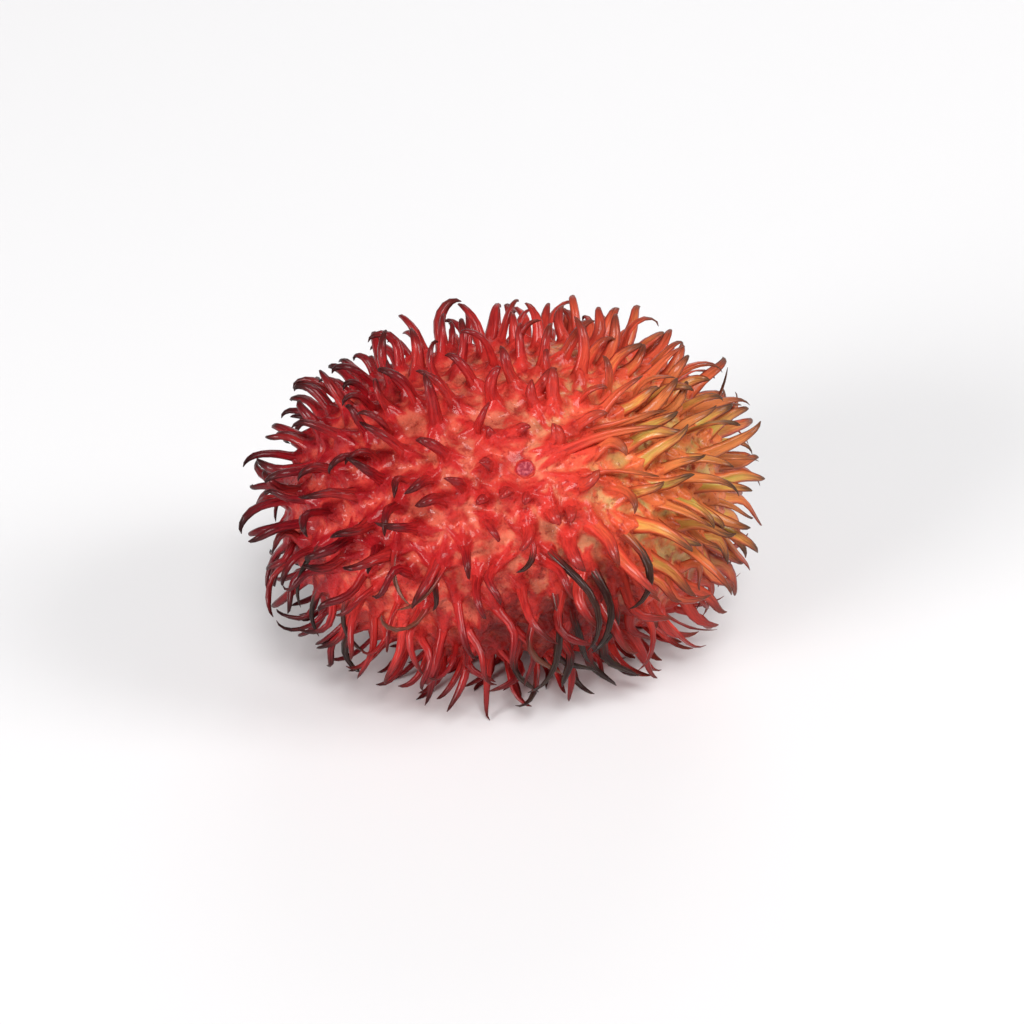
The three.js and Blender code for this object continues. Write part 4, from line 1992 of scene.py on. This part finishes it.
@dataclass
class Scar:
    """The small round scar where one spine broke off."""

    growth: Growth
    finish: ScarFinish
    sides: int = 40
    # Radius and height of each ring in millimetres, from the buried edge to the middle.
    outline: tuple[tuple[float, float], ...] = (
        (1.6, -0.7),
        (1.16, -0.04),
        (1.02, 0.12),
        (0.95, 0.15),
        (0.87, 0.1),
        (0.7, 0.12),
        (0.45, 0.17),
        (0.2, 0.19),
    )
    crown: float = 0.03
    # How far from round it is: an oval, with waves round it.
    oval: float = 0.07
    oval_turn: float = 0.7
    wavy: float = 0.035
    waves: int = 5
    # The search for the rind under it: how far it reaches, and how often it is halved.
    search: float = 4.0
    halvings: int = 40

    def build(self) -> bpy.types.Object:
        """Builds the scar.

        Returns:
            The finished piece.
        """
        form = self.growth.form
        centre = self.growth.rule.scar_place
        normal = form.normal(centre)
        seat = self.seat(centre, normal)
        first = unit(np.cross(normal, UP))
        second = np.cross(normal, first)
        points, rings = [], []
        for radius, height in self.outline:
            for k in range(self.sides):
                turn = 2 * math.pi * k / self.sides
                oval = self.oval * math.sin(2 * turn + self.oval_turn)
                reach = radius * (1 + oval + self.wavy * math.sin(self.waves * turn))
                spoke = first * math.cos(turn) + second * math.sin(turn)
                points.append(seat + normal * height + reach * spoke)
                rings.append(radius / self.outline[0][0])
        points.append(seat + normal * (self.outline[-1][1] + self.crown))
        rings.append(0.0)
        piece = mesh_object("spine_scar", form.placed(np.array(points)), self.faces())
        store(piece.data, "ring", np.array(rings))
        outwards(piece.data)
        piece.data.shade_smooth()
        piece.data.materials.append(self.finish.make())
        return piece

    def faces(self) -> list[list[int]]:
        """The faces between the rings, over the middle and underneath.

        Returns:
            Each face's point numbers.
        """
        nexts = [(k, (k + 1) % self.sides) for k in range(self.sides)]
        last = (len(self.outline) - 1) * self.sides
        middle = last + self.sides
        faces = [
            [ring + a, ring + b, ring + b + self.sides, ring + a + self.sides]
            for ring in range(0, last, self.sides)
            for a, b in nexts
        ]
        faces += [[last + a, last + b, middle] for a, b in nexts]
        faces.append(list(range(self.sides))[::-1])
        return faces

    def seat(self, centre: np.ndarray, normal: np.ndarray) -> np.ndarray:
        """The point of the smooth rind under the scar's middle.

        Args:
            centre: A point near the rind.
            normal: The rind's outward direction there.

        Returns:
            The point.
        """
        low, high = -self.search, self.search
        for _ in range(self.halvings):
            middle = (low + high) / 2
            inside = self.growth.form.holds(centre + normal * middle)
            low, high = (middle, high) if inside else (low, middle)
        return centre + normal * low


def outwards(mesh: bpy.types.Mesh) -> None:
    """Turns a closed mesh's faces outwards.

    Args:
        mesh: The mesh.
    """
    work = bmesh.new()
    work.from_mesh(mesh)
    bmesh.ops.recalc_face_normals(work, faces=work.faces)
    work.to_mesh(mesh)
    work.free()


class Side(Enum):
    """A softbox, as its name, place in metres, width, height and power in watts."""

    LEFT = ("left_softbox", (-0.82, -0.58, 0.36), 0.4, 0.4, 9.0)
    RIGHT = ("right_softbox", (0.82, -0.26, 0.66), 0.4, 0.4, 4.9)
    BACK = ("back_softbox", (0.24, 0.95, 0.50), 0.6, 0.5, 2.1)


@dataclass
class Studio:
    """The floor, the lights and the camera."""

    azimuth: float = -7.0
    elevation: float = 32.0
    distance: float = 0.282
    lens: float = 85.0
    sensor_width: float = 36.0
    clip: tuple[float, float] = (0.01, 20.0)
    target: tuple[float, float, float] = (0.0009, 0.0, 0.0178)
    floor_half: float = 3.0
    floor_colour: Colour = (0.79, 0.783, 0.79, 1.0)
    floor_roughness: float = 0.7
    overhead_strength: float = 2.1
    overhead_angle: float = math.radians(26)
    overhead_turn: tuple[float, float, float] = (math.radians(31), math.radians(3), 0.0)
    surround: float = 0.14
    surround_colour: Colour = (1.0, 0.995, 0.99, 1.0)

    def build(self) -> None:
        """Builds the floor, the lights and the camera."""
        self.floor()
        self.world()
        self.overhead()
        for side in Side:
            self.softbox(side)
        self.camera()
        bpy.context.scene.view_settings.view_transform = "Standard"

    def floor(self) -> None:
        """Builds a plain, pale, matt floor."""
        half = self.floor_half
        corners = [(-half, -half, 0.0), (half, -half, 0.0), (half, half, 0.0), (-half, half, 0.0)]
        floor = mesh_object("floor", np.array(corners), [[0, 1, 2, 3]])
        material = bpy.data.materials.new("pale_floor")
        material.use_nodes = True
        shader = material.node_tree.nodes["Principled BSDF"]
        shader.inputs["Base Color"].default_value = self.floor_colour
        shader.inputs["Roughness"].default_value = self.floor_roughness
        floor.data.materials.append(material)

    def world(self) -> None:
        """Sets even white light from all round."""
        world = bpy.data.worlds.new("studio")
        bpy.context.scene.world = world
        world.use_nodes = True
        background = world.node_tree.nodes["Background"]
        background.inputs["Color"].default_value = self.surround_colour
        background.inputs["Strength"].default_value = self.surround

    def overhead(self) -> None:
        """Hangs a very wide, soft light overhead, the same all over the floor."""
        light = bpy.data.lights.new("overhead_softbox", "SUN")
        light.energy, light.angle = self.overhead_strength, self.overhead_angle
        made = linked("overhead_softbox", light)
        made.location = UP
        made.rotation_euler = self.overhead_turn

    def softbox(self, side: Side) -> None:
        """Stands up one soft area light, turned to the fruit.

        Args:
            side: Which light.
        """
        name, place, width, height, power = side.value
        light = bpy.data.lights.new(name, "AREA")
        light.shape = "RECTANGLE"
        light.size, light.size_y, light.energy = width, height, power
        made = linked(name, light)
        made.location = place
        ahead = Vector(self.target) - Vector(place)
        made.rotation_euler = ahead.to_track_quat("-Z", "Y").to_euler()

    def camera(self) -> None:
        """Sets up the camera, above the fruit and a little to its left."""
        turn, rise = math.radians(self.azimuth), math.radians(self.elevation)
        level = math.cos(rise)
        back = Vector((math.sin(turn) * level, -math.cos(turn) * level, math.sin(rise)))
        lens = bpy.data.cameras.new("camera")
        lens.lens, lens.sensor_width = self.lens, self.sensor_width
        lens.clip_start, lens.clip_end = self.clip
        camera = linked("camera", lens)
        camera.location = Vector(self.target) + back * self.distance
        camera.rotation_euler = (-back).to_track_quat("-Z", "Y").to_euler()
        bpy.context.scene.camera = camera


def stand_in(piece: bpy.types.Object) -> None:
    """Makes a finished piece ride on the fruit's body and stand for its solid.

    Args:
        piece: The piece.
    """
    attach(piece, BODY)
    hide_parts(NODE)
    mesh = piece.data
    LOG.info("%s: %d points, %d faces", piece.name, len(mesh.vertices), len(mesh.polygons))


RIND_FINISH = RindFinish(
    name="rind_skin", roughness=0.4, coat=0.25, subsurface=0.12, depth=0.0005, bump=0.9,
    relief=0.0003,
)
SPINE_FINISH = SpineFinish(
    name="spine_skin", roughness=0.36, coat=0.32, subsurface=0.1, depth=0.0005, bump=0.6,
    relief=0.0002,
)
SCAR_FINISH = ScarFinish(
    name="scar_skin", roughness=0.55, coat=0.0, subsurface=0.2, depth=0.0006, bump=0.4,
    relief=0.0002,
)


def main() -> None:
    """Builds the fruit and the studio."""
    logging.basicConfig(level=logging.INFO, format="%(name)s: %(message)s")
    growth = Growth(RindForm(), SpineRule())
    limp = len(growth.LIMP)
    slighter = len(growth.lines) - growth.count_main - limp
    LOG.info("%d main spines, %d limp, %d slighter", growth.count_main, limp, slighter)
    parts = (Rind(growth, RIND_FINISH), Spines(growth, SPINE_FINISH), Scar(growth, SCAR_FINISH))
    for part in parts:
        stand_in(part.build())
    Studio().build()


if __name__ == "__main__":
    main()
